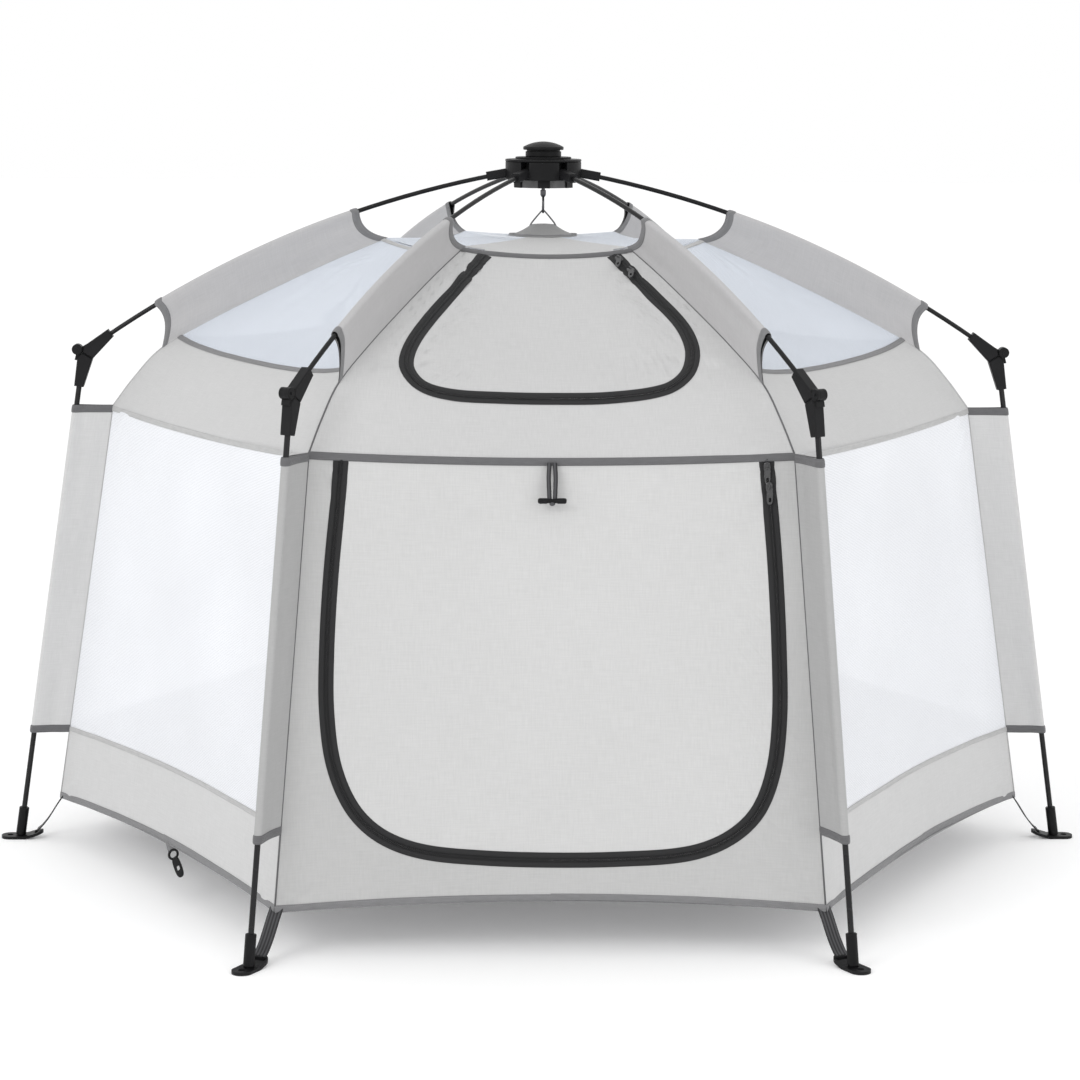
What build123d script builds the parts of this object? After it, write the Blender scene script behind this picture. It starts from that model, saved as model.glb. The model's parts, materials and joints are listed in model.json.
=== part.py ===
"""Hexagonal pop-up play tent with an umbrella-style folding frame.

Six arms hinge down from a central hub, six legs hinge at the knees, and a sewn body of
roof, walls and floor hangs inside the frame. Millimetres, +Z up, origin on the ground
below the hub, the front wall with its zipped door faces -Y, and one leg lies on +X.
"""
import os
from math import atan2
from math import cos
from math import degrees
from math import radians
from math import sin
from math import tan

from build123d import *

# ---------------------------------------------------------------- driving dimensions
CORNERS = {"r": 0, "br": 60, "bl": 120, "l": 180, "fl": 240, "fr": 300}
HALF_TURN = 30

FOOT_RADIUS = 900.0
KNEE_RADIUS = 786.0
KNEE_HEIGHT = 849.0
HUB_HEIGHT = 1150.0

HEM_RADIUS = 829.0
HEM_HEIGHT = 72.0
HEM_RISE = 14.0
WAIST_RADIUS = 727.5
WAIST_HEIGHT = 753.6
HIP_RADIUS = 643.0
HIP_HEIGHT = 852.0
RING_RADIUS = 263.0
RING_HEIGHT = 1039.0
CAP_RADIUS = 55.0
CAP_EDGE_HEIGHT = 1046.0
CAP_PEAK_HEIGHT = 1063.0

LEG_POLE_RADIUS = 4.5
ARM_POLE_RADIUS = 3.75
CLOTH = 1.0
CUT_DEPTH = 60.0
WEB_OFFSET = 3.0
WEB_TOP_GAP = 2.0
WEB_RISE = 4.0
CAP_LAP = 2.0
FLOOR_INSET = 8.0
SEAM_GAP = 0.5

# hub
HUB_RADIUS = 64.0
HUB_TIER_BOTTOM = 1138.0
HUB_TIER_TOP = 1168.0
HUB_BOTTOM = 1125.0
HUB_CORE_RADIUS = 46.0
RIB_WIDTH = 20.0
RIB_RADIUS = 51.0
TRIM_RADIUS = 49.0
SLOT_WIDTH = 16.0
SLOT_FLOOR = 46.5
HUB_PIVOT_RADIUS = 56.0
PIN_RADIUS = 2.0
PIN_CLEARANCE = 0.05
PIN_LENGTH = 32.0
HUB_EDGE = 1.2
COVER_GAP = 0.2
COVER_THICKNESS = 4.0
STEP_RADIUS = 47.0
STEP_THICKNESS = 3.8
STEM_RADIUS = 8.0
STEM_CLEARANCE = 0.3
KNOB_COLLAR_RADIUS = 30.0
KNOB_NECK_RADIUS = 28.0
KNOB_DOME_RADIUS = 34.0
KNOB_COLLAR_HEIGHT = 9.0
KNOB_NECK_HEIGHT = 2.5
KNOB_CROWN = 9.0
KNOB_TOP = 1201.5

# arm ends and knees
ARM_END_WIDTH = 15.2
ARM_END_HEIGHT = 15.0
ARM_END_LENGTH = 40.0
ARM_END_EDGE = 3.0
ARM_POLE_START = 22.0
KNEE_OFFSET = 10.5
KNEE_WIDTH = 18.0
KNEE_SOCKET_LENGTH = 62.0
KNEE_DEPTH = 30.0
KNEE_EYE_RADIUS = 9.0
KNEE_TONGUE = 8.0
KNEE_CLEARANCE = 0.4
KNEE_PIN_RADIUS = 2.5
KNEE_EDGE = 1.8
KNEE_BROW = 4.0
KNEE_PIN_PROUD = 3.0
KNEE_POLE_GRIP = 18.0
SOCKET_WALL = 3.2
BUTT_GAP = 0.3

# feet
FOOT_OUTER = 32.0
FOOT_INNER = 40.0
FOOT_WIDTH = 32.0
FOOT_THICKNESS = 5.0
FOOT_FLAT_INNER = 10.0
POLE_FLOOR = 2.0
FOOT_TOE_RISE = 9.0
FOOT_SOCKET_TOP = 54.0
FOOT_SOCKET_RADIUS = 8.5
STAKE_HOLE_RADIUS = 5.5
STAKE_HOLE_INSET = 15.0
STRAP_SLOT_WIDTH = 22.0
STRAP_SLOT_DEPTH = 7.0
STRAP_SLOT_INSET = 28.0
STRAP_WIDTH = 20.0
STRAP_THICKNESS = 1.6
STRAP_CLEARANCE = 2.0

# sleeves that join the body to the poles
FIN_BOTTOM_HEIGHT = 188.0
ROOF_FIN_LOW_RADIUS = 653.0
ROOF_FIN_TOP_RADIUS = 310.5
ARM_MID_RADIUS = 310.5
ARM_MID_HEIGHT = 1084.0

# door and roof window, measured in the plane of their panel
DOOR_TOP_HALF = 318.0
DOOR_LOW_HALF = 344.0
DOOR_SILL = 75.0
DOOR_CORNER = 200.0
DOOR_TOP_GAP = 5.0
FLAP_GAP = 1.5
WINDOW_TOP_HALF = 100.0
WINDOW_TOP = 362.0
WINDOW_WIDE_HALF = 228.0
WINDOW_WIDE_AT = 70.0
WINDOW_LOW_HALF = 206.0
WINDOW_LOW = -44.0
WINDOW_SIDE_ROUND = 110.0
WINDOW_LOW_ROUND = 66.0

# sliders and toggle
SLIDER_WIDTH = 11.0
SLIDER_LENGTH = 15.0
SLIDER_HEIGHT = 6.0
SLIDER_PITCH = 34.0
SLIDER_STANDOFF = 1.5
SLIDER_TOP_GAP = 4.0
WINDOW_ZIP_GAP = 6.0
TAB_LAP = 3.0
TAB_WIDTH = 7.0
TAB_LENGTH = 18.0
TAB_THICKNESS = 2.0
TOGGLE_RADIUS = 4.5
TOGGLE_LENGTH = 44.0
TOGGLE_STANDOFF = 9.0
TOGGLE_CORD_RADIUS = 1.6
TOGGLE_CORD_HALF = 8.0
TOGGLE_TOP_DROP = 14.0
TOGGLE_BAR_DROP = 73.0
TOGGLE_TAPER = 0.6

# snap hook and cap loop
HOOK_LENGTH = 44.0
HOOK_WIDTH = 12.0
HOOK_WIRE = 1.8
HOOK_SHANK = 12.0
LOOP_HALF = 20.0
LOOP_WIRE = 1.2
LOOP_HEIGHT = 1089.5
LOOP_CLEARANCE = 6.0

ROOT3_HALF = cos(radians(HALF_TURN))


# ---------------------------------------------------------------- geometry helpers
def turned(shape, angle):
    """A shape made on the +X corner, turned about Z to the corner at this angle."""
    return Rot(0, 0, angle) * shape


def inset(points, gap):
    """The corners of a convex flat outline, each edge moved in by the gap."""
    moved = []
    count = len(points)
    for index, point in enumerate(points):
        back = (points[index - 1] - point).normalized()
        ahead = (points[(index + 1) % count] - point).normalized()
        moved.append(point + (back + ahead) * (gap / back.cross(ahead).length))
    return moved


def plate(points, thickness, gap=SEAM_GAP):
    """A flat sheet over a convex outline, thickened away from the tent's axis."""
    corners = inset([Vector(*point) for point in points], gap)
    face = make_face(Polyline(*corners, close=True))
    normal = (corners[1] - corners[0]).cross(corners[2] - corners[0]).normalized()
    middle = sum(corners, Vector(0, 0, 0)) * (1 / len(corners))
    away = middle - Vector(0, 0, middle.Z / 2)
    if normal.dot(away) < 0:
        normal = normal * -1
    return extrude(face, amount=thickness, dir=normal)


def side_point(radius, height, share):
    """A point on the side that faces -Y: share runs from -1 at its left corner to 1."""
    return Vector(share * radius / 2, -radius * ROOT3_HALF, height)


def half_side(low, high, hand, rise=0.0):
    """Outline of half a side panel between two rings, from a corner to its middle."""
    low_middle = side_point(low[0], low[1], 0)
    up = (side_point(high[0], high[1], 0) - low_middle).normalized()
    return [
        side_point(low[0], low[1], hand),
        side_point(high[0], high[1], hand),
        side_point(high[0], high[1], 0),
        low_middle + up * rise,
    ]


def side_plane(low, high):
    """Plane of the front side panel: x along the side, y up the slope, z outwards."""
    origin = side_point(low[0], low[1], 0)
    up = side_point(high[0], high[1], 0) - origin
    across = Vector(1, 0, 0)
    return Plane(origin=origin, x_dir=across, z_dir=across.cross(up.normalized()))


def bar_profile(points, width, angle=0):
    """A flat bar: an outline in the corner's upright plane, thickened sideways."""
    flat = [Vector(*point) for point in points]
    face = make_face(Polyline(*[(point.X, 0, point.Y) for point in flat], close=True))
    return turned(extrude(face, amount=width / 2, dir=(0, 1, 0), both=True), angle)


def upright_disc(radius, height):
    """A round disc or bar that stands on the ground plane."""
    return Cylinder(radius, height, align=(Align.CENTER, Align.CENTER, Align.MIN))


def rounded(shape, radius):
    """The shape with its round rims eased."""
    return fillet(shape.edges().filter_by(GeomType.CIRCLE), radius)


def cross_pin(radius_at, height, radius, length):
    """A pin across the corner's upright plane."""
    return Pos(radius_at, 0, height) * Rot(90, 0, 0) * Cylinder(radius, length)


# ---------------------------------------------------------------- lines of the frame
HEM = (HEM_RADIUS, HEM_HEIGHT)
WAIST = (WAIST_RADIUS, WAIST_HEIGHT)
HIP = (HIP_RADIUS, HIP_HEIGHT)
RING = (RING_RADIUS, RING_HEIGHT)
CAP = (CAP_RADIUS + CAP_LAP, CAP_EDGE_HEIGHT)

PIVOT = Vector(KNEE_RADIUS, KNEE_HEIGHT)
LEG_TILT = atan2(FOOT_RADIUS - KNEE_RADIUS + KNEE_OFFSET, KNEE_HEIGHT)
LEG_UP = Vector(-sin(LEG_TILT), cos(LEG_TILT))
LEG_IN = Vector(-cos(LEG_TILT), -sin(LEG_TILT))
LEG_TOP = PIVOT + LEG_IN * KNEE_OFFSET


def leg_radius(height):
    """Distance from the tent's axis to a leg pole's axis at a height."""
    return LEG_TOP.X + (LEG_TOP.Y - height) * tan(LEG_TILT)


def circle_through(first, second, third):
    """Centre and radius of the circle through three points of the upright plane."""
    chord = second - first
    other = third - first
    turn = 2 * (chord.X * other.Y - chord.Y * other.X)
    chord_square = chord.dot(chord)
    other_square = other.dot(other)
    offset = Vector(
        (other.Y * chord_square - chord.Y * other_square) / turn,
        (chord.X * other_square - other.X * chord_square) / turn,
    )
    return first + offset, offset.length


ARM_ROOT = Vector(HUB_PIVOT_RADIUS, HUB_HEIGHT)
ARM_SLOPE_AT_KNEE = radians(36)
ARM_IN = Vector(-sin(ARM_SLOPE_AT_KNEE), -cos(ARM_SLOPE_AT_KNEE))
ARM_TIP = PIVOT + ARM_IN * KNEE_OFFSET
ARM_CENTRE, ARM_BEND = circle_through(ARM_ROOT, Vector(ARM_MID_RADIUS, ARM_MID_HEIGHT), ARM_TIP)


def arm_point(radius):
    """Point of the bowed arm pole's axis at a distance from the tent's axis."""
    return Vector(radius, ARM_CENTRE.Y + (ARM_BEND**2 - (radius - ARM_CENTRE.X) ** 2) ** 0.5)


def arm_direction(radius):
    """Outward direction of the arm pole's axis at a distance from the tent's axis."""
    spoke = (arm_point(radius) - ARM_CENTRE).normalized()
    return Vector(spoke.Y, -spoke.X)


# ---------------------------------------------------------------- hub
def hub_body():
    tier = rounded(upright_disc(HUB_RADIUS, HUB_TIER_TOP - HUB_TIER_BOTTOM), HUB_EDGE)
    core_height = HUB_TIER_BOTTOM - HUB_BOTTOM
    body = Pos(0, 0, HUB_TIER_BOTTOM) * tier
    body += Pos(0, 0, HUB_BOTTOM) * upright_disc(HUB_CORE_RADIUS, core_height)
    for angle in CORNERS.values():
        rib = Box(RIB_RADIUS, RIB_WIDTH, core_height)
        body += turned(Pos(RIB_RADIUS / 2, 0, HUB_BOTTOM + core_height / 2) * rib, angle + HALF_TURN)
    for angle in CORNERS.values():
        slot = Box(HUB_RADIUS, SLOT_WIDTH, HUB_RADIUS)
        body -= turned(Pos(SLOT_FLOOR + HUB_RADIUS / 2, 0, HUB_HEIGHT) * slot, angle)
        body -= turned(cross_pin(HUB_PIVOT_RADIUS, HUB_HEIGHT, PIN_RADIUS + PIN_CLEARANCE, PIN_LENGTH), angle)
    stem_bore = upright_disc(STEM_RADIUS + STEM_CLEARANCE, HUB_RADIUS)
    return body - Pos(0, 0, HUB_BOTTOM + STEP_THICKNESS) * stem_bore


def hub_cover():
    """Flange plate with a raised step around the release knob."""
    flange = rounded(upright_disc(HUB_RADIUS, COVER_THICKNESS), HUB_EDGE)
    step = rounded(upright_disc(STEP_RADIUS, COVER_THICKNESS + STEP_THICKNESS), HUB_EDGE)
    bore = Cylinder(STEM_RADIUS + STEM_CLEARANCE, HUB_RADIUS)
    return Pos(0, 0, HUB_TIER_TOP + COVER_GAP) * (flange + step - bore)


def hub_trim_ring():
    """Six satin shells around the hub's core, between its ribs."""
    height = HUB_TIER_BOTTOM - HUB_BOTTOM - 2 * COVER_GAP
    ring = Cylinder(TRIM_RADIUS, height) - Cylinder(HUB_CORE_RADIUS + COVER_GAP, height)
    for angle in CORNERS.values():
        break_at_rib = Box(HUB_RADIUS, RIB_WIDTH + 2 * COVER_GAP, height)
        ring -= turned(Pos(RIB_RADIUS, 0, 0) * break_at_rib, angle + HALF_TURN)
    return Pos(0, 0, HUB_BOTTOM + COVER_GAP + height / 2) * ring


def hub_pins():
    return [
        turned(cross_pin(HUB_PIVOT_RADIUS, HUB_HEIGHT, PIN_RADIUS, PIN_LENGTH), angle)
        for angle in CORNERS.values()
    ]


def hub_knob():
    """Mushroom knob on a stem that slides up in the hub."""
    base = HUB_TIER_TOP + COVER_GAP + COVER_THICKNESS + STEP_THICKNESS + COVER_GAP
    stem = Pos(0, 0, HUB_TIER_BOTTOM) * upright_disc(STEM_RADIUS, base + KNOB_NECK_HEIGHT - HUB_TIER_BOTTOM)
    collar = Pos(0, 0, base) * rounded(upright_disc(KNOB_COLLAR_RADIUS, KNOB_COLLAR_HEIGHT), HUB_EDGE)
    neck_base = base + KNOB_COLLAR_HEIGHT - HUB_EDGE
    neck = Pos(0, 0, neck_base) * upright_disc(KNOB_NECK_RADIUS, KNOB_NECK_HEIGHT + HUB_EDGE)
    rim_base = base + KNOB_COLLAR_HEIGHT + KNOB_NECK_HEIGHT
    crown = (KNOB_DOME_RADIUS**2 + KNOB_CROWN**2) / (2 * KNOB_CROWN)
    dome = Pos(0, 0, rim_base) * upright_disc(KNOB_DOME_RADIUS, KNOB_TOP - rim_base)
    dome = rounded(dome & Pos(0, 0, KNOB_TOP - crown) * Sphere(crown), HUB_EDGE)
    return stem + collar + neck + dome


def snap_hook():
    """Swivel shank with a closed oval hook below it."""
    shank = Pos(0, 0, HUB_BOTTOM - COVER_GAP - HOOK_SHANK / 2) * Cylinder(HOOK_WIRE * 1.6, HOOK_SHANK)
    oval_height = HOOK_LENGTH - HOOK_SHANK
    oval = SlotCenterToCenter(oval_height - HOOK_WIDTH, HOOK_WIDTH)
    eye = SlotCenterToCenter(oval_height - HOOK_WIDTH, HOOK_WIDTH - 2 * HOOK_WIRE)
    link = extrude(oval - eye, amount=HOOK_WIRE, both=True)
    link = Rot(0, 0, 90) * Rot(90, 0, 0) * Rot(0, 0, 90) * link
    return shank + Pos(0, 0, HUB_BOTTOM - HOOK_SHANK - oval_height / 2) * link


def apex_cap():
    """Six-sided patch over the roof's peak, with the loop that hangs on the hook."""
    panels = []
    for angle in CORNERS.values():
        peak = Vector(0, 0, CAP_PEAK_HEIGHT)
        left = side_point(CAP_RADIUS, CAP_EDGE_HEIGHT, -1)
        right = side_point(CAP_RADIUS, CAP_EDGE_HEIGHT, 1)
        panels.append(turned(plate([peak, left, right], CLOTH * 2, 0.2), angle))
    foot = CAP_PEAK_HEIGHT + (CAP_EDGE_HEIGHT - CAP_PEAK_HEIGHT) * LOOP_HALF / CAP_RADIUS / ROOT3_HALF
    start = foot + LOOP_CLEARANCE
    route = Polyline((LOOP_HALF, 0, start), (0, 0, LOOP_HEIGHT), (-LOOP_HALF, 0, start))
    section = Plane(origin=route @ 0, z_dir=route % 0) * Circle(LOOP_WIRE)
    loop = sweep(section, path=route, transition=Transition.RIGHT)
    return panels + [loop]


# ---------------------------------------------------------------- arms, legs and feet
def arm_pole():
    start = HUB_PIVOT_RADIUS + ARM_POLE_START
    finish = arm_point(ARM_TIP.X) - arm_direction(ARM_TIP.X) * KNEE_POLE_GRIP
    middle = arm_point((start + finish.X) / 2)
    first = arm_point(start)
    route = ThreePointArc((first.X, 0, first.Y), (middle.X, 0, middle.Y), (finish.X, 0, finish.Y))
    return sweep(Plane(origin=route @ 0, z_dir=route % 0) * Circle(ARM_POLE_RADIUS), path=route)


def arm_hub_end():
    """Block with an eye that hinges in the hub's slot and grips the arm pole."""
    along = arm_direction(HUB_PIVOT_RADIUS)
    block = Box(ARM_END_LENGTH, ARM_END_WIDTH, ARM_END_HEIGHT, align=(Align.MIN, Align.CENTER, Align.CENTER))
    block = fillet(block.edges().filter_by(Axis.X), ARM_END_EDGE)
    slope = degrees(atan2(along.Y, along.X))
    end = Pos(ARM_ROOT.X, 0, ARM_ROOT.Y) * Rot(0, -slope, 0) * block
    end += cross_pin(ARM_ROOT.X, ARM_ROOT.Y, ARM_END_HEIGHT / 2, ARM_END_WIDTH)
    return end - cross_pin(ARM_ROOT.X, ARM_ROOT.Y, PIN_RADIUS + PIN_CLEARANCE, PIN_LENGTH)


def knee_corner():
    """Inner corner of the knee, where its two halves butt against each other."""
    along = arm_direction(ARM_TIP.X) * -1
    bisector = (along + LEG_UP * -1).normalized()
    return PIVOT + bisector * KNEE_DEPTH, bisector


def knee_half(direction, outward):
    """One half of a knee: a tapered socket whose wide end lies on the butt plane."""
    inner, bisector = knee_corner()
    tip = PIVOT - outward * KNEE_OFFSET + direction * KNEE_SOCKET_LENGTH
    wall = SOCKET_WALL + LEG_POLE_RADIUS
    shift = direction * BUTT_GAP
    brow = PIVOT - outward * PIN_RADIUS + direction * (KNEE_EYE_RADIUS + KNEE_BROW)
    profile = [
        PIVOT + bisector * (KNEE_EYE_RADIUS + KNEE_CLEARANCE) + shift,
        inner + shift,
        tip - outward * wall,
        tip + outward * wall,
        brow,
    ]
    half = bar_profile(profile, KNEE_WIDTH)
    return chamfer(half.edges().filter_by(Plane.XZ), KNEE_EDGE)


def knee_upper():
    """Arm's half of the knee, with the tongue that turns on the pin."""
    along = arm_direction(ARM_TIP.X) * -1
    outward = ARM_IN * -1
    ear_room = cross_pin(PIVOT.X, PIVOT.Y, KNEE_EYE_RADIUS + KNEE_CLEARANCE, KNEE_WIDTH * 2)
    half = knee_half(along, outward) - ear_room
    eye = cross_pin(PIVOT.X, PIVOT.Y, KNEE_EYE_RADIUS, KNEE_TONGUE)
    inner, bisector = knee_corner()
    reach = PIVOT + along * (KNEE_EYE_RADIUS * 2)
    neck = bar_profile(
        [
            PIVOT,
            PIVOT + bisector * KNEE_OFFSET + along * BUTT_GAP,
            reach - outward * KNEE_OFFSET,
            reach - outward * PIN_RADIUS,
        ],
        KNEE_TONGUE,
    )
    return half + eye + neck - cross_pin(PIVOT.X, PIVOT.Y, KNEE_PIN_RADIUS + PIN_CLEARANCE, KNEE_WIDTH * 2)


def knee_lower():
    """Leg's half of the knee: two ears around the tongue."""
    half = knee_half(LEG_UP * -1, LEG_IN * -1)
    half += rounded(cross_pin(PIVOT.X, PIVOT.Y, KNEE_EYE_RADIUS, KNEE_WIDTH), HUB_EDGE)
    neck_end = PIVOT - LEG_UP * (KNEE_EYE_RADIUS * 2)
    inner, bisector = knee_corner()
    half += bar_profile(
        [
            PIVOT,
            PIVOT + bisector * KNEE_OFFSET - LEG_UP * BUTT_GAP,
            neck_end + LEG_IN * KNEE_OFFSET,
            neck_end - LEG_IN * PIN_RADIUS,
        ],
        KNEE_WIDTH - 2 * KNEE_EDGE,
    )
    half -= cross_pin(PIVOT.X, PIVOT.Y, KNEE_EYE_RADIUS + KNEE_CLEARANCE, KNEE_TONGUE + 2 * KNEE_CLEARANCE)
    return half - cross_pin(PIVOT.X, PIVOT.Y, KNEE_PIN_RADIUS + PIN_CLEARANCE, KNEE_WIDTH * 2)


def tube_on_leg(radius, low, high):
    """A round bar along the leg pole's axis between two heights."""
    bottom = Vector(leg_radius(low), low)
    length = (high - low) / cos(LEG_TILT)
    bar = Cylinder(radius, length, align=(Align.CENTER, Align.CENTER, Align.MIN))
    return Pos(bottom.X, 0, bottom.Y) * Rot(0, -degrees(LEG_TILT), 0) * bar


def leg_pole():
    return tube_on_leg(LEG_POLE_RADIUS, FOOT_THICKNESS + POLE_FLOOR, KNEE_HEIGHT - KNEE_DEPTH)


def foot():
    """Foot plate with a stake hole outside, a raised strap slot inside and a socket."""
    outer = FOOT_RADIUS + FOOT_OUTER
    inner = FOOT_RADIUS - FOOT_INNER
    flat_from = FOOT_RADIUS - FOOT_FLAT_INNER
    side = [
        (outer, 0),
        (outer, FOOT_THICKNESS),
        (flat_from, FOOT_THICKNESS),
        (inner, FOOT_TOE_RISE + FOOT_THICKNESS),
        (inner, FOOT_TOE_RISE),
        (flat_from, 0),
    ]
    plan_length = outer - inner
    plan = Pos((outer + inner) / 2, 0, 0) * SlotOverall(plan_length, FOOT_WIDTH)
    base = bar_profile(side, FOOT_WIDTH) & extrude(plan, amount=FOOT_SOCKET_TOP)
    base += rounded(tube_on_leg(FOOT_SOCKET_RADIUS, FOOT_THICKNESS, FOOT_SOCKET_TOP), HUB_EDGE)
    base -= tube_on_leg(LEG_POLE_RADIUS, FOOT_THICKNESS + POLE_FLOOR, FOOT_SOCKET_TOP * 2)
    base -= Pos(outer - STAKE_HOLE_INSET, 0, 0) * Cylinder(STAKE_HOLE_RADIUS, FOOT_SOCKET_TOP)
    slot = Box(STRAP_SLOT_DEPTH, STRAP_SLOT_WIDTH, FOOT_SOCKET_TOP)
    return base - Pos(FOOT_RADIUS - STRAP_SLOT_INSET, 0, 0) * slot


# ---------------------------------------------------------------- sewn body
def door_outline(gap):
    """Door outline in the plane of the front wall, made smaller by the gap."""
    top = Vector(WAIST[0], 0, WAIST[1]) - Vector(HEM[0], 0, HEM[1])
    height = (top.Z**2 + (top.X * ROOT3_HALF) ** 2) ** 0.5 - DOOR_TOP_GAP
    low_half = DOOR_LOW_HALF - gap
    top_half = DOOR_TOP_HALF - gap
    sill = DOOR_SILL + gap
    outline = Polyline(
        (-top_half, height),
        (-low_half, sill),
        (low_half, sill),
        (top_half, height),
        close=True,
    )
    sheet = make_face(outline)
    low_corners = sheet.vertices().sort_by(Axis.Y)[:2]
    return fillet(low_corners, DOOR_CORNER - gap)


def window_outline(gap):
    """Roof window outline in the plane of the front roof panel."""
    top = WINDOW_TOP - gap
    low = WINDOW_LOW + gap
    outline = Polyline(
        (-WINDOW_TOP_HALF + gap, top),
        (-WINDOW_WIDE_HALF + gap, WINDOW_WIDE_AT),
        (-WINDOW_LOW_HALF + gap, low),
        (WINDOW_LOW_HALF - gap, low),
        (WINDOW_WIDE_HALF - gap, WINDOW_WIDE_AT),
        (WINDOW_TOP_HALF - gap, top),
        close=True,
    )
    sheet = make_face(outline)
    sheet = fillet(sheet.vertices().sort_by(Axis.Y)[2:4], WINDOW_SIDE_ROUND - gap)
    return fillet(sheet.vertices().sort_by(Axis.Y)[:2], WINDOW_LOW_ROUND - gap)


def through_cut(outline, low, high):
    """A deep prism over an outline in a side panel's plane, to cut that panel."""
    return extrude(side_plane(low, high) * outline, amount=CUT_DEPTH, both=True)


def flap(outline, low, high):
    """A flap that fills an outline in a side panel's plane."""
    return extrude(side_plane(low, high) * outline, amount=CLOTH)


def wall_panel(name):
    """Half of each wall beside a corner, the leg sleeve's web and the foot strap."""
    angle = CORNERS[name]
    cut = through_cut(door_outline(0), HEM, WAIST)
    pieces = []
    for hand in (-1, 1):
        piece = plate(half_side(HEM, WAIST, hand, HEM_RISE), CLOTH)
        side_angle = angle - hand * HALF_TURN
        if round(side_angle) == 270:
            piece = piece - cut
        pieces.append(turned(piece, side_angle - 270))
    top = WAIST_HEIGHT - WEB_TOP_GAP
    low_share = (FIN_BOTTOM_HEIGHT - HEM_HEIGHT) / (WAIST_HEIGHT - HEM_HEIGHT)
    wall_low = HEM_RADIUS + (WAIST_RADIUS - HEM_RADIUS) * low_share
    pole_gap = LEG_POLE_RADIUS + SEAM_GAP
    web = [
        (wall_low + WEB_OFFSET, FIN_BOTTOM_HEIGHT),
        (WAIST_RADIUS + WEB_OFFSET, top),
        (leg_radius(top) - pole_gap, top),
        (leg_radius(FIN_BOTTOM_HEIGHT) - pole_gap, FIN_BOTTOM_HEIGHT),
    ]
    pieces.append(bar_profile(web, CLOTH, angle))
    strap_foot = FOOT_RADIUS - STRAP_SLOT_INSET - STRAP_THICKNESS
    strap_low = FOOT_TOE_RISE + FOOT_THICKNESS + STRAP_CLEARANCE
    strap_top = HEM_RADIUS + CLOTH
    strap = [
        (strap_top, HEM_HEIGHT - CLOTH),
        (strap_top + STRAP_THICKNESS, HEM_HEIGHT - CLOTH),
        (strap_foot + STRAP_THICKNESS, strap_low),
        (strap_foot, strap_low),
    ]
    pieces.append(bar_profile(strap, STRAP_WIDTH, angle))
    return pieces


def roof_panel(name):
    """Half of each roof panel beside a corner, with the web up to the arm pole."""
    angle = CORNERS[name]
    cut = through_cut(window_outline(0), HIP, RING)
    pieces = []
    for hand in (-1, 1):
        side_angle = angle - hand * HALF_TURN
        for low, high in ((WAIST, HIP), (HIP, RING), (RING, CAP)):
            piece = plate(half_side(low, high, hand), CLOTH)
            if round(side_angle) == 270:
                piece = piece - cut
            pieces.append(turned(piece, side_angle - 270))
    gap = ARM_POLE_RADIUS + SEAM_GAP
    low_end = arm_point(ROOF_FIN_LOW_RADIUS)
    top_end = arm_point(ROOF_FIN_TOP_RADIUS)
    middle = arm_point((ROOF_FIN_LOW_RADIUS + ROOF_FIN_TOP_RADIUS) / 2)
    web = [
        (HIP_RADIUS, HIP_HEIGHT + WEB_RISE),
        (low_end.X - gap / 2, low_end.Y - gap),
        (middle.X - gap / 2, middle.Y - gap),
        (top_end.X, top_end.Y - gap),
        (RING_RADIUS + CAP_LAP, RING_HEIGHT + WEB_RISE),
    ]
    pieces.append(bar_profile(web, CLOTH, angle))
    return pieces


def floor_panel(name):
    """The kite-shaped sixth of the floor that reaches from a corner to the middle."""
    radius = HEM_RADIUS - FLOOR_INSET
    side_middle = Vector(radius * ROOT3_HALF * ROOT3_HALF, radius * ROOT3_HALF / 2)
    kite = [
        Vector(radius, 0, HEM_HEIGHT),
        Vector(side_middle.X, side_middle.Y, HEM_HEIGHT),
        Vector(0, 0, HEM_HEIGHT),
        Vector(side_middle.X, -side_middle.Y, HEM_HEIGHT),
    ]
    return turned(plate(kite, CLOTH, SEAM_GAP / 2), CORNERS[name])


# ---------------------------------------------------------------- sliders and toggle
def sliders(low, high, start, finish):
    """Two zip sliders with pull tabs, one above the other beside a zip's straight run."""
    run = (finish - start).normalized()
    across = Vector(-run.Y, run.X)
    turn = degrees(atan2(run.Y, run.X)) + 90
    pair = []
    for index in range(2):
        centre = start + run * (SLIDER_LENGTH / 2 + SLIDER_TOP_GAP + index * SLIDER_PITCH)
        centre += across * (SLIDER_WIDTH / 2 + CLOTH)
        base = Box(SLIDER_WIDTH, SLIDER_LENGTH, SLIDER_HEIGHT, align=(Align.CENTER, Align.CENTER, Align.MIN))
        base = fillet(base.edges().filter_by(Axis.Z), SLIDER_WIDTH / 4)
        tab = Box(TAB_WIDTH, TAB_LENGTH, TAB_THICKNESS)
        tab = Pos(0, TAB_LAP - (SLIDER_LENGTH + TAB_LENGTH) / 2, SLIDER_HEIGHT / 2) * tab
        placed = Pos(centre.X, centre.Y, SLIDER_STANDOFF) * Rot(0, 0, turn) * (base + tab)
        pair.append(side_plane(low, high) * placed)
    return pair


def door_sliders():
    plane_height = ((WAIST[1] - HEM[1]) ** 2 + ((WAIST[0] - HEM[0]) * ROOT3_HALF) ** 2) ** 0.5
    start = Vector(DOOR_TOP_HALF, plane_height - DOOR_TOP_GAP)
    finish = Vector(DOOR_LOW_HALF, DOOR_SILL)
    return sliders(HEM, WAIST, start, finish)


def window_sliders():
    start = Vector(WINDOW_TOP_HALF, WINDOW_TOP - WINDOW_ZIP_GAP)
    finish = Vector(WINDOW_WIDE_HALF, WINDOW_WIDE_AT)
    return sliders(HIP, RING, start, finish)


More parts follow.
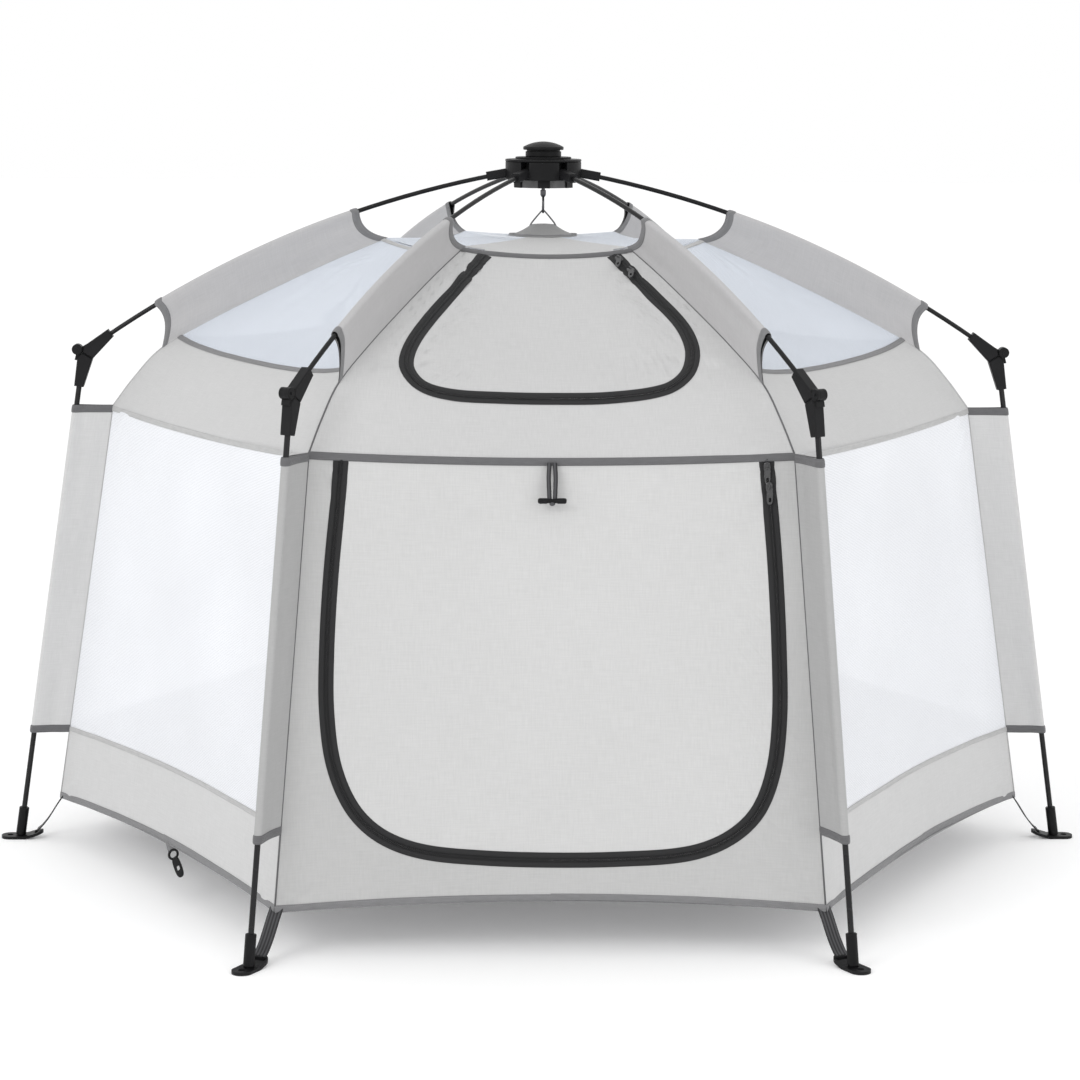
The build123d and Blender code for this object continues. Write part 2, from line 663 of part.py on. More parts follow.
def toggle_tie():
    """Toggle bar on a cord loop that hangs from the waist in front of the door."""
    face = WAIST_RADIUS * ROOT3_HALF
    lean = (HEM_RADIUS - WAIST_RADIUS) * ROOT3_HALF / (WAIST_HEIGHT - HEM_HEIGHT)
    top_y = -face - TOGGLE_STANDOFF
    bar_y = top_y - lean * TOGGLE_BAR_DROP
    bar_height = WAIST_HEIGHT - TOGGLE_BAR_DROP
    bar = rounded(Cylinder(TOGGLE_RADIUS, TOGGLE_LENGTH), HUB_EDGE)
    tie = Pos(0, bar_y, bar_height) * Rot(0, 90, 0) * bar
    for hand in (-1, 1):
        top = (hand * TOGGLE_CORD_HALF, top_y, WAIST_HEIGHT - TOGGLE_TOP_DROP)
        low = (hand * TOGGLE_CORD_HALF * TOGGLE_TAPER, bar_y, bar_height + TOGGLE_RADIUS)
        route = Line(top, low)
        tie += sweep(Plane(origin=route @ 0, z_dir=route % 0) * Circle(TOGGLE_CORD_RADIUS), path=route)
    return tie


# ---------------------------------------------------------------- all nodes
def make_nodes():
    nodes = {
        "hub_body": hub_body(),
        "hub_cover": hub_cover(),
        "hub_trim_ring": hub_trim_ring(),
        "hub_pins": hub_pins(),
        "hub_knob": hub_knob(),
        "snap_hook": snap_hook(),
        "apex_cap": apex_cap(),
        "door_flap": flap(door_outline(FLAP_GAP), HEM, WAIST),
        "window_flap": flap(window_outline(FLAP_GAP), HIP, RING),
        "door_sliders": door_sliders(),
        "window_sliders": window_sliders(),
        "toggle_tie": toggle_tie(),
    }
    upper = knee_upper() - arm_pole()
    hub_end = arm_hub_end() - arm_pole()
    lower = knee_lower() - leg_pole()
    pin = cross_pin(PIVOT.X, PIVOT.Y, KNEE_PIN_RADIUS, KNEE_WIDTH + KNEE_PIN_PROUD)
    for name, angle in CORNERS.items():
        nodes["arm_pole_" + name] = turned(arm_pole(), angle)
        nodes["arm_ends_" + name] = [turned(hub_end, angle), turned(upper, angle)]
        nodes["leg_pole_" + name] = turned(leg_pole(), angle)
        nodes["knee_lower_" + name] = [turned(lower, angle), turned(pin, angle)]
        nodes["foot_" + name] = turned(foot(), angle)
        nodes["roof_panel_" + name] = roof_panel(name)
        nodes["wall_panel_" + name] = wall_panel(name)
        nodes["floor_panel_" + name] = floor_panel(name)
    return nodes


def solids_of(shape):
    """All solids of a shape or of a list of shapes."""
    if isinstance(shape, list):
        return [solid for piece in shape for solid in piece.solids()]
    return list(shape.solids())


os.makedirs("parts", exist_ok=True)
for node, shape in make_nodes().items():
    export_step(Compound(children=solids_of(shape), label=node), f"parts/{node}.step")
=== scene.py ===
import json
from functools import partial
from math import atan2, copysign, cos, exp, hypot, pi, radians, sin, tan

import bpy
from mathutils import Matrix, Vector, noise
from mathutils.kdtree import KDTree

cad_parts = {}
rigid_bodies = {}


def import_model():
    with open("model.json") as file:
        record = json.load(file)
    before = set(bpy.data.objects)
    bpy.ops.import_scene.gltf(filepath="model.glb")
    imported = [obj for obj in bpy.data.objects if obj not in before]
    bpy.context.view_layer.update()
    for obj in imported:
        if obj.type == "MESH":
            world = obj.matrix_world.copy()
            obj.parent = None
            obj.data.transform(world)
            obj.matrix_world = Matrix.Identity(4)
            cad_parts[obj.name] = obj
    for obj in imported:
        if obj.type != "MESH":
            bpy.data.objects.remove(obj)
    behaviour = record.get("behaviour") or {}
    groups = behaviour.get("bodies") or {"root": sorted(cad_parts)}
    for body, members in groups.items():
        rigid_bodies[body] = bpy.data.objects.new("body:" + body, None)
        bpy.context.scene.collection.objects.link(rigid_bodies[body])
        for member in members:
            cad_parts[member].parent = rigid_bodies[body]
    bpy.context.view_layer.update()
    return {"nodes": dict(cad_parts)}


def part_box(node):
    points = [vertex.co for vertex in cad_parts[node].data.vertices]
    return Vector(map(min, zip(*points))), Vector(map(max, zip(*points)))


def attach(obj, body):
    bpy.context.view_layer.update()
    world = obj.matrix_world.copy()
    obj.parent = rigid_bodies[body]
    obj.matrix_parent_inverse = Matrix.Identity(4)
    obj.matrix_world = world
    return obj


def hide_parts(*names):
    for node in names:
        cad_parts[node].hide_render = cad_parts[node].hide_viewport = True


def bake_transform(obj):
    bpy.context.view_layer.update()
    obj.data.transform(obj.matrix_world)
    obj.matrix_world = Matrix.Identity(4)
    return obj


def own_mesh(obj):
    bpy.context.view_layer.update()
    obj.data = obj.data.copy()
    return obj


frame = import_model()
scene = bpy.context.scene

# ------------------------------------------------------------------ sizes, in metres
CORNERS = {"r": 0, "br": 60, "bl": 120, "l": 180, "fl": 240, "fr": 300}
SIDES = {30: "back_right", 90: "back", 150: "back_left", 210: "left", 270: "front", 330: "right"}
FRONT = 270
C30 = cos(radians(30))
UP = Vector((0, 0, 1))

HEM_R, HEM_Z = 0.829, 0.072
WAIST_R, WAIST_Z = 0.7275, 0.7536
HIP_R, HIP_Z = 0.643, 0.852
RING_R, RING_Z = 0.263, 1.039
CAP_R, CAP_EDGE_Z, CAP_PEAK_Z = 0.055, 1.0445, 1.0625
CAP_SPREAD, CAP_FLAT = 0.058, 0.019
PEAK_R = CAP_R - 0.004
CAP_LOOP = (
    (-0.022, 1.0600), (-0.019, 1.0655), (-0.004, 1.0835), (0, 1.0865),
    (0.004, 1.0835), (0.019, 1.0655), (0.022, 1.0600),
)
CLIP_SIDE, CLIP_U, CLIP_HAND = 210, 0.024, 1
WALL_H = hypot(WAIST_Z - HEM_Z, (HEM_R - WAIST_R) * C30)
HEM_RISE, WAIST_SAG = 0.016, 0.010
SKIRT = 0.122
WALL_SEAM_Z = WALL_H - 0.005
TRIM_Z = 0.866
DROP_KNOTS = ((0, WAIST_SAG), (0.35, 0.013), (0.7, 0.015), (1, 0.012))
SEAM_KNOTS = (
    (0.7536, 0.7275), (0.803, 0.690), (0.852, 0.643), (0.903, 0.555),
    (0.9555, 0.450), (1.000, 0.355), (1.039, 0.263),
)
FIN_BOTTOM = 0.188
FLOOR_R = HEM_R - 0.003
SEAM_PIPE_R = 0.0014
FIN_LOW_R, FIN_TOP_R = 0.653, 0.3105
KNEE = Vector((0.786, 0.849))
KNEE_OFFSET = 0.0105
LEG_TILT = atan2(0.900 - KNEE.x + KNEE_OFFSET, KNEE.y)
LEG_TOP = KNEE - Vector((cos(LEG_TILT), sin(LEG_TILT))) * KNEE_OFFSET

HANDS = (-1, 1)
EAST, NORTH = Vector((1, 0, 0)), Vector((0, 1, 0))
ROOF_WEAVE, PEAK_WEAVE = 1.9, 0.18
SHEET_FILL = 0.31
BAR_SIDES, STACK_SIDES = 8, 24

CAMERA_LENS, CAMERA_SENSOR = 100.4, 36
CAMERA_AT = (-0.0018, -5.1014, 1.3282)
CAMERA_ORBIT, CAMERA_DIP, CAMERA_ROLL = -0.02497, 0.1564, 0.006


# ------------------------------------------------------------------ camera
def add_camera():
    data = bpy.data.cameras.new("camera")
    data.lens = CAMERA_LENS
    data.sensor_width = CAMERA_SENSOR
    eye = bpy.data.objects.new("camera", data)
    scene.collection.objects.link(eye)
    orbit = Matrix.Rotation(CAMERA_ORBIT, 4, "Z")
    place = Matrix.Translation(CAMERA_AT)
    tip = Matrix.Rotation(pi / 2 - CAMERA_DIP, 4, "X")
    roll = Matrix.Rotation(CAMERA_ROLL, 4, "Z")
    eye.matrix_world = orbit @ place @ tip @ roll
    scene.camera = eye


add_camera()


# ------------------------------------------------------------------ small helpers
def lerp(a, b, t):
    return a + (b - a) * t


def smooth(x):
    x = min(1.0, max(0.0, x))
    return x * x * (3 - 2 * x)


def along_knots(knots, x):
    """Smooth curve through (x, value) knots, straight beyond its ends."""
    last = len(knots) - 1
    i = 0
    while i < last - 1 and x > knots[i + 1][0]:
        i += 1
    x0, y0 = knots[i]
    x1, y1 = knots[i + 1]

    def slope(k):
        a, b = knots[max(k - 1, 0)], knots[min(k + 1, last)]
        return (b[1] - a[1]) / (b[0] - a[0])

    span = x1 - x0
    t = (x - x0) / span
    if t < 0:
        return y0 + slope(i) * (x - x0)
    if t > 1:
        return y1 + slope(i + 1) * (x - x1)
    m0, m1 = slope(i) * span, slope(i + 1) * span
    return (
        y0 * (2 * t**3 - 3 * t**2 + 1) + m0 * (t**3 - 2 * t**2 + t)
        + y1 * (3 * t**2 - 2 * t**3) + m1 * (t**3 - t**2)
    )


def spline(points, spacing):
    """Even points along a smooth curve through the given points, all of which it keeps."""
    result = []
    count = len(points)
    for i in range(count - 1):
        p0, p1 = points[max(i - 1, 0)], points[i]
        p2, p3 = points[i + 1], points[min(i + 2, count - 1)]
        steps = max(2, round((p2 - p1).length / spacing))
        t1 = (p2 - p0) * (p2 - p1).length / ((p1 - p0).length + (p2 - p1).length)
        t2 = (p3 - p1) * (p2 - p1).length / ((p2 - p1).length + (p3 - p2).length)
        for k in range(steps):
            t = k / steps
            result.append(
                p1 * (2 * t**3 - 3 * t**2 + 1) + t1 * (t**3 - 2 * t**2 + t)
                + p2 * (3 * t**2 - 2 * t**3) + t2 * (t**3 - t**2)
            )
    result.append(points[-1].copy())
    return result


def stations(points):
    """Each point of a line, the way past it and its distance from the line's start."""
    run = 0.0
    for i, point in enumerate(points):
        if i:
            run += (point - points[i - 1]).length
        yield point, points[min(i + 1, len(points) - 1)] - points[max(i - 1, 0)], run


def corner_at(side, hand):
    angle = (side + 30 * hand) % 360
    return next(name for name, value in CORNERS.items() if value == angle)


def axes_of(angle):
    turn = radians(angle)
    return Vector((cos(turn), sin(turn), 0)), Vector((-sin(turn), cos(turn), 0))


def at_corner(name, radius, height, aside=0.0):
    out, along = axes_of(CORNERS[name])
    return out * radius + along * aside + UP * height


def make_mesh(name, points, faces, materials, uvs=None, normals=None, face_materials=None):
    mesh = bpy.data.meshes.new(name)
    mesh.from_pydata([tuple(p) for p in points], [], faces)
    for material in materials:
        mesh.materials.append(material)
    if face_materials:
        mesh.polygons.foreach_set("material_index", face_materials)
    if uvs:
        layer = mesh.uv_layers.new(name="weave")
        for loop in mesh.loops:
            layer.data[loop.index].uv = uvs[loop.vertex_index]
    mesh.shade_smooth()
    if normals:
        mesh.normals_split_custom_set_from_vertices([tuple(n) for n in normals])
    mesh.update()
    thing = bpy.data.objects.new(name, mesh)
    scene.collection.objects.link(thing)
    return thing


def grid_faces(rows, columns, flip):
    faces = []
    for i in range(rows - 1):
        for j in range(columns - 1):
            a = i * columns + j
            quad = (a, a + 1, a + columns + 1, a + columns)
            faces.append(quad[::-1] if flip else quad)
    return faces


def surface_normal(surface, a, b, hint):
    step = 0.0015
    da = surface(a + step, b) - surface(a - step, b)
    db = surface(a, b + step) - surface(a, b - step)
    normal = da.cross(db).normalized()
    return normal if normal.dot(hint) > 0 else -normal


def cloth(name, surface, grid, material, hint, uv=None):
    """One layer of cloth over a grid of (across, up) places on a surface."""
    flat = [place for row in grid for place in row]
    points = [surface(a, b) for a, b in flat]
    normals = [surface_normal(surface, a, b, hint) for a, b in flat]
    rows, columns = len(grid), len(grid[0])
    mid = (rows // 2) * columns + columns // 2
    facing = (points[mid + 1] - points[mid]).cross(points[mid - columns] - points[mid])
    flip = facing.dot(normals[mid]) > 0
    faces = grid_faces(rows, columns, flip)
    faces = [f for f in faces if area_of([points[i] for i in f]) > 1e-9]
    uvs = [uv(a, b) if uv else (a, b) for a, b in flat]
    return make_mesh(name, points, faces, [material], uvs, normals)


def area_of(corners):
    total = Vector()
    for i in range(1, len(corners) - 1):
        total += (corners[i] - corners[0]).cross(corners[i + 1] - corners[0])
    return total.length / 2


def sheet(piece):
    """Works out the flat size a cloth piece was cut to, but does nothing with it; returns the piece."""
    mesh = piece.data
    us = [d.uv.x for d in mesh.uv_layers["weave"].data]
    vs = [d.uv.y for d in mesh.uv_layers["weave"].data]
    width, length = max(us) - min(us), max(vs) - min(vs)
    area = sum(p.area for p in mesh.polygons)
    width = max(width, area / length)
    width = min(width, area / (length * SHEET_FILL))
    area = min(area, width * length)
    return piece


# ------------------------------------------------------------------ materials
class Nodes:
    """Adds shader nodes to a new material."""

    def __init__(self, name):
        self.material = bpy.data.materials.new(name)
        self.material.use_nodes = True
        self.tree = self.material.node_tree
        self.shader = self.tree.nodes["Principled BSDF"]

    def add(self, kind, **settings):
        node = self.tree.nodes.new(kind)
        for key, value in settings.items():
            setattr(node, key, value)
        return node

    def feed(self, target, value):
        if isinstance(value, bpy.types.NodeSocket):
            self.tree.links.new(value, target)
        else:
            target.default_value = value

    def set(self, **values):
        for key, value in values.items():
            self.feed(self.shader.inputs[key.replace("_", " ")], value)

    def math(self, operation, a, b=0.0, c=0.0):
        node = self.add("ShaderNodeMath", operation=operation)
        for slot_, value in zip(node.inputs, (a, b, c)):
            self.feed(slot_, value)
        return node.outputs[0]

    def uv(self):
        return self.add("ShaderNodeUVMap", uv_map="weave").outputs[0]

    def place(self):
        return self.add("ShaderNodeTexCoord").outputs["Object"]

    def scaled(self, vector, scale, turn=0.0):
        node = self.add("ShaderNodeMapping")
        self.feed(node.inputs["Vector"], vector)
        node.inputs["Scale"].default_value = scale
        node.inputs["Rotation"].default_value = (0, 0, turn)
        return node.outputs[0]

    def noise(self, vector, scale, detail=3.0, rough=0.5):
        node = self.add("ShaderNodeTexNoise")
        self.feed(node.inputs["Vector"], vector)
        node.inputs["Scale"].default_value = scale
        node.inputs["Detail"].default_value = detail
        node.inputs["Roughness"].default_value = rough
        return node.outputs[0]

    def wave(self, vector, scale, direction="X", shape="SIN"):
        node = self.add("ShaderNodeTexWave", bands_direction=direction, wave_profile=shape)
        self.feed(node.inputs["Vector"], vector)
        node.inputs["Scale"].default_value = scale
        node.inputs["Distortion"].default_value = 0
        return node.outputs["Fac"]

    def ramp(self, value, stops):
        node = self.add("ShaderNodeValToRGB")
        self.feed(node.inputs[0], value)
        ramp = node.color_ramp
        while len(ramp.elements) < len(stops):
            ramp.elements.new(0.5)
        for element, (position, colour) in zip(ramp.elements, stops):
            element.position = position
            element.color = (*colour, 1)
        return node.outputs[0]

    def span(self, value, low, high):
        node = self.add("ShaderNodeMapRange")
        self.feed(node.inputs["Value"], value)
        node.inputs["To Min"].default_value = low
        node.inputs["To Max"].default_value = high
        return node.outputs["Result"]

    def bump(self, height, strength, distance):
        node = self.add("ShaderNodeBump")
        self.feed(node.inputs["Height"], height)
        node.inputs["Strength"].default_value = strength
        node.inputs["Distance"].default_value = distance
        self.feed(self.shader.inputs["Normal"], node.outputs[0])


def shade(colour, factor):
    return tuple(min(1.0, c * factor) for c in colour)


def canvas(name, colour, thread=0.0016, sheen=0.12, lively=1.0):
    """Coated plain-weave polyester with slubs, a soft sheen and faint marks."""
    m = Nodes(name)
    uv = m.uv()
    rate = 1 / (thread * 2 * pi) * pi
    warp = m.wave(m.scaled(uv, (1, 1, 1)), rate, "X")
    weft = m.wave(m.scaled(uv, (1, 1, 1)), rate, "Y")
    weave = m.math("MULTIPLY_ADD", warp, 0.5, m.math("MULTIPLY", weft, 0.5))
    slub_up = m.noise(m.scaled(uv, (520, 34, 1)), 1.0, 2)
    slub_across = m.noise(m.scaled(uv, (30, 480, 1)), 1.0, 2)
    slubs = m.math("ADD", slub_up, slub_across)
    cloud = m.noise(m.place(), 3.2, 4, 0.55)
    tone = m.math("MULTIPLY_ADD", slubs, 0.42, m.math("MULTIPLY", cloud, 0.30))
    tone = m.math("MULTIPLY_ADD", weave, 0.10, tone)
    dark, light = 1 - 0.10 * lively, 1 + 0.09 * lively
    m.set(
        Base_Color=m.ramp(tone, [(0.30, shade(colour, dark)), (0.86, shade(colour, light))]),
        Roughness=m.span(slubs, 0.62, 0.80),
    )
    m.set(Specular_IOR_Level=0.32, Sheen_Weight=sheen, Sheen_Roughness=0.45)
    m.bump(m.math("MULTIPLY_ADD", slubs, 0.5, weave), 0.35, 0.00035)
    return m.material


def netting(name, colour, thread_alpha, hole_alpha):
    """Fine knitted net: solid threads round small holes that show what is behind."""
    m = Nodes(name)
    uv = m.uv()
    cell = m.add("ShaderNodeTexVoronoi", feature="DISTANCE_TO_EDGE", voronoi_dimensions="2D")
    m.feed(cell.inputs["Vector"], m.scaled(uv, (1, 0.8, 1)))
    cell.inputs["Scale"].default_value = 520
    cell.inputs["Randomness"].default_value = 0.25
    thread = m.ramp(cell.outputs["Distance"], [(0.10, (1, 1, 1)), (0.22, (0, 0, 0))])
    cloud = m.noise(m.place(), 4.0, 3)
    m.set(
        Base_Color=m.ramp(cloud, [(0.3, shade(colour, 0.965)), (0.7, shade(colour, 1.03))]),
        Roughness=m.span(cloud, 0.65, 0.8),
        Alpha=m.span(thread, hole_alpha, thread_alpha),
    )
    m.set(Specular_IOR_Level=0.25, Sheen_Weight=0.15)
    m.bump(thread, 0.3, 0.0003)
    return m.material


def tape(name, colour, width=0.012, rib=0.0011, stitches=True, sheen=0.15, lengthwise=0.0):
    """Woven tape: ribs across it, a row of stitches near each edge, and ribs along it if asked, with their
    crests painted paler as highlights.
    """
    m = Nodes(name)
    uv = m.uv()
    split = m.add("ShaderNodeSeparateXYZ")
    m.feed(split.inputs[0], uv)
    run, across = split.outputs[0], split.outputs[1]
    ribs = m.wave(uv, 1 / (rib * 2), "X")
    twill = m.wave(m.scaled(uv, (1, 1, 1), 0.8), 1 / (rib * 3), "X")
    surface = m.math("MULTIPLY_ADD", ribs, 0.6, m.math("MULTIPLY", twill, 0.4))
    cloud = m.noise(m.scaled(uv, (60, 200, 1)), 1.0, 3)
    tone = m.math("MULTIPLY_ADD", surface, 0.35, m.math("MULTIPLY", cloud, 0.65))
    if lengthwise:
        cords = m.wave(uv, 1 / (lengthwise * 2), "Y")
        surface = m.math("MULTIPLY_ADD", cords, 1.6, surface)
        tone = m.math("MULTIPLY_ADD", cords, 0.8, m.math("MULTIPLY", tone, 0.4))
    if stitches:
        from_middle = m.math("ABSOLUTE", m.math("SUBTRACT", across, width / 2))
        row = m.math("COMPARE", from_middle, width / 2 - 0.0022, 0.0006)
        dash = m.math("GREATER_THAN", m.math("FRACT", m.math("DIVIDE", run, 0.0034)), 0.32)
        stitch = m.math("MULTIPLY", row, dash)
        tone = m.math("MULTIPLY_ADD", stitch, 0.35, tone)
        surface = m.math("ADD", surface, stitch)
    # With ribs along it, the ramp's top goes up to five times the tape's colour, so the cords' crests are
    # painted paler: painted highlights.
    light = 5.0 if lengthwise else 1.22
    m.set(
        Base_Color=m.ramp(tone, [(0.15, shade(colour, 0.80)), (0.95, shade(colour, light))]),
        Roughness=m.span(cloud, 0.6, 0.85),
    )
    m.set(Specular_IOR_Level=0.3, Sheen_Weight=sheen)
    m.bump(surface, 0.5, 0.0004)
    return m.material


def moulded(name, colour, rough, grain=900.0, coat=0.0, gloss=0.25):
    """Moulded plastic with a fine grain, cloudy gloss and its edges painted paler as highlights."""
    m = Nodes(name)
    place = m.place()
    fine = m.noise(place, grain, 2)
    cloud = m.noise(place, 24, 4, 0.6)
    # Painted highlight: sharp convex edges, found by pointiness, are painted paler.
    edge = m.add("ShaderNodeNewGeometry").outputs["Pointiness"]
    edge_highlight = m.ramp(edge, [(0.50, (0, 0, 0)), (0.60, (1, 1, 1))])
    tone = m.math("MULTIPLY_ADD", edge_highlight, 0.5, m.math("MULTIPLY", cloud, 0.6))
    m.set(
        Base_Color=m.ramp(tone, [(0.2, shade(colour, 0.8)), (0.9, shade(colour, 2.2))]),
        Roughness=m.span(cloud, rough - 0.08, rough + 0.12),
    )
    m.set(Specular_IOR_Level=gloss, Coat_Weight=coat, Coat_Roughness=0.25)
    m.bump(fine, 0.12, 0.0003)
    return m.material


def metal(name, colour, rough):
    """Plated steel, faintly brushed."""
    m = Nodes(name)
    place = m.place()
    brushed = m.noise(m.scaled(place, (60, 60, 1400)), 1.0, 3)
    cloud = m.noise(place, 60, 3)
    m.set(
        Base_Color=m.ramp(cloud, [(0.3, shade(colour, 0.85)), (0.7, shade(colour, 1.1))]),
        Roughness=m.span(brushed, rough - 0.08, rough + 0.12),
    )
    m.set(Metallic=1.0)
    m.bump(brushed, 0.1, 0.0002)
    return m.material


# The canvas is one cloth, given eight base greys that paint in the light and shade each part shows from this
# camera: the paler greys are painted light and the darker ones painted shade. The front leg sleeves' darkest
# grey is painted shade; the roof sleeves' darker grey is partly painted shade, partly their double layer.
CANVAS_WALL = canvas("canvas_wall", (0.465, 0.465, 0.463))
CANVAS_DOOR = canvas("canvas_door", (0.555, 0.555, 0.553))
CANVAS_ROOF = canvas("canvas_roof", (0.53, 0.53, 0.53))
CANVAS_BAND = canvas("canvas_band", (0.525, 0.525, 0.525))
CANVAS_SKIRT = canvas("canvas_skirt", (0.555, 0.555, 0.555))
CANVAS_FIN = canvas("canvas_fin", (0.46, 0.455, 0.46))
CANVAS_LEG = canvas("canvas_leg_sleeve", (0.57, 0.57, 0.57))
CANVAS_LEG_SHADED = canvas("canvas_leg_sleeve_shaded", (0.39, 0.39, 0.39))
# Painted shadow: a near-black sheet inside each sleeve that stands for the dark seen in its open ends, with
# some dark webbing there too.
SLEEVE_SHADOW_SHEET = canvas("sleeve_painted_shadow", (0.012, 0.012, 0.013), lively=2.0)
FLOOR_CLOTH = canvas("floor_cloth", (0.42, 0.42, 0.43), thread=0.0024, sheen=0.05)
CAP_CLOTH = canvas("cap_cloth", (0.30, 0.30, 0.30), thread=0.002)
NET_WALL = netting("net_wall", (0.88, 0.895, 0.93), 0.97, 0.66)
NET_ROOF = netting("net_roof", (0.71, 0.755, 0.83), 0.95, 0.64)
BINDING = tape("binding_grey", (0.20, 0.20, 0.205))
BINDING_DARK = tape("binding_dark", (0.13, 0.13, 0.135))
SELF_SEAM = tape("self_seam", (0.46, 0.46, 0.46))
ZIP_TAPE = tape("zip_tape", (0.020, 0.020, 0.021), width=0.011, sheen=0.05)
# The black webbing's pale streaks along its cords are painted highlights.
WEBBING = tape(
    "webbing_black", (0.014, 0.014, 0.015), width=0.020, rib=0.0024, stitches=False, lengthwise=0.009
)
COIL = moulded("zip_coil", (0.012, 0.012, 0.013), 0.38, 1500, gloss=0.4)
PLASTIC = moulded("frame_plastic", (0.0055, 0.0055, 0.006), 0.42, gloss=0.16)
POLE = moulded("pole_black", (0.006, 0.006, 0.0065), 0.24, 300, coat=0.10, gloss=0.20)
TRIM = moulded("trim_satin", (0.030, 0.030, 0.031), 0.22, 1200, coat=0.35, gloss=0.5)
SLIDER = moulded("slider_black", (0.016, 0.016, 0.017), 0.24, 1200, coat=0.5, gloss=0.5)
STEEL = metal("pin_steel", (0.62, 0.62, 0.64), 0.28)
HOOK_STEEL = metal("hook_steel", (0.10, 0.10, 0.105), 0.24)


# ------------------------------------------------------------------ surfaces of the sewn body
def leg_radius(height):
    return LEG_TOP.x + (LEG_TOP.y - height) * tan(LEG_TILT)


def circle_through(a, b, c):
    ab, ac = b - a, c - a
    turn = 2 * (ab.x * ac.y - ab.y * ac.x)
    across = ac.y * ab.dot(ab) - ab.y * ac.dot(ac)
    up = ab.x * ac.dot(ac) - ac.x * ab.dot(ab)
    centre = a + Vector((across, up)) / turn
    return centre, (centre - a).length


ARM_TIP = KNEE - Vector((sin(radians(36)), cos(radians(36)))) * KNEE_OFFSET
ARM_CENTRE, ARM_BEND = circle_through(Vector((0.056, 1.150)), Vector((0.3105, 1.084)), ARM_TIP)


def arm_height(radius):
    return ARM_CENTRE.y + (ARM_BEND**2 - (radius - ARM_CENTRE.x) ** 2) ** 0.5


def seam_radius(height):
    return along_knots(SEAM_KNOTS, height)


def wall_half(level):
    return lerp(HEM_R, WAIST_R, level / WALL_H) / 2


def corner_folds(side, u, level, half_low, half_high, top, reach=0.12, size=0.0012):
    """Small folds that fan out from the four corners of a panel."""
    total = 0.0
    for hand in HANDS:
        for corner_u, corner_level in ((hand * half_low, 0.0), (hand * half_high, top)):
            du, dl = (u - corner_u) * -hand, level - corner_level
            away = hypot(du, dl)
            fan = atan2(abs(dl), du + 1e-6)
            total += size * exp(-away / reach) * smooth(away / 0.04) * sin(fan * 11 + side + corner_level * 9)
    return total


def wall_ripple(side, u, level):
    half = wall_half(level)
    free = smooth((half - abs(u)) / 0.05)
    soft = 0.0035 * noise.noise(Vector((u * 2.6 + side * 0.11, level * 2.1, side * 0.7)))
    soft += 0.0012 * noise.noise(Vector((u * 9.0, level * 5.0 + side, 3.1)))
    return free * (soft + corner_folds(side, u, level, HEM_R / 2, WAIST_R / 2, WALL_H, size=0.0018))


def wall_point(side, u, level, lift=0.0):
    """Place on a wall: u along the side, level from the hem, 0, up to the waist."""
    out, along = axes_of(side)
    share = level / WALL_H
    radius = lerp(HEM_R, WAIST_R, share)
    bow = 1 - (2 * u / radius) ** 2
    rise = (HEM_RISE * (1 - share) ** 2 - WAIST_SAG * share**2) * bow
    depth = radius * C30 - (0.006 + 0.016 * share * (1 - share)) * bow
    depth += wall_ripple(side, u, level) + lift
    if side == FRONT:
        depth += puckers(DOOR_GUIDE, u, level, 0.0010) * smooth((radius / 2 - abs(u)) / 0.012)
    return out * depth + along * u + UP * (lerp(HEM_Z, WAIST_Z, share) + rise + lift * 0.13)


def roof_point(side, u, height, lift=0.0):
    """Place on a roof panel: height is that of the corner seams at this level."""
    out, along = axes_of(side)
    radius = seam_radius(height)
    share = (height - WAIST_Z) / (RING_Z - WAIST_Z)
    bow = 1 - (2 * u / radius) ** 2
    inset = along_knots(((0, 0.006), (0.4, 0.006), (1, 0.004)), share) * bow
    drop = along_knots(DROP_KNOTS, share) * bow
    slope = (seam_radius(height + 0.002) - seam_radius(height - 0.002)) / 0.004 * C30
    normal = (out - UP * slope).normalized()
    free = smooth((radius / 2 - abs(u)) / 0.05)
    ripple = 0.0028 * noise.noise(Vector((u * 3.1, height * 7.0 + side * 0.3, side * 0.9)))
    ripple += corner_folds(side, u, height - WAIST_Z, WAIST_R / 2, RING_R / 2, RING_Z - WAIST_Z, 0.09, 0.0012)
    ripple *= free
    if side == FRONT:
        ripple += puckers(WINDOW_GUIDE, u, height, 0.0024) * smooth((radius / 2 - abs(u)) / 0.012)
    return out * (radius * C30 - inset) + along * u + UP * (height - drop) + normal * (ripple + lift)


def apex_point(side, u, share, lift=0.0):
    """Place on the peak: share 0 on the ring seam and 1 on the cap patch."""
    out, along = axes_of(side)
    radius = lerp(RING_R, PEAK_R, share)
    bow = 1 - (2 * u / radius) ** 2
    height = RING_Z + 0.002 * share + 0.0035 * share**4
    edge = (1 - share) ** 2
    ripple = 0.002 * noise.noise(Vector((u * 9, share * 2, side))) * smooth((radius / 2 - abs(u)) / 0.03)
    level = height - 0.012 * bow * edge + ripple + lift
    return out * (radius * C30 - 0.004 * bow * edge) + along * u + UP * level


def puckers(guide, u, level, size):
    """Short wrinkles that run out from a zip, where its tape gathers the cloth."""
    tree, runs, gathered = guide
    place = Vector((u, level, 0))
    _, index, away = tree.find(place)
    if away > 0.16:
        return 0.0
    strength = gathered(u, level)
    if strength <= 0:
        return 0.0
    run = runs[index]
    beat = noise.noise(Vector((run * 30, 0.5, 0.0))) + 0.7 * sin(run * 2 * pi / 0.018)
    return size * strength * beat * exp(-away / 0.040) * smooth((away - 0.0120) / 0.006)


def guide_for(path, gathered):
    tree = KDTree(len(path))
    runs = []
    for i, (point, _, run) in enumerate(stations(path)):
        runs.append(run)
        tree.insert((point.x, point.y, 0), i)
    tree.balance()
    return tree, runs, gathered


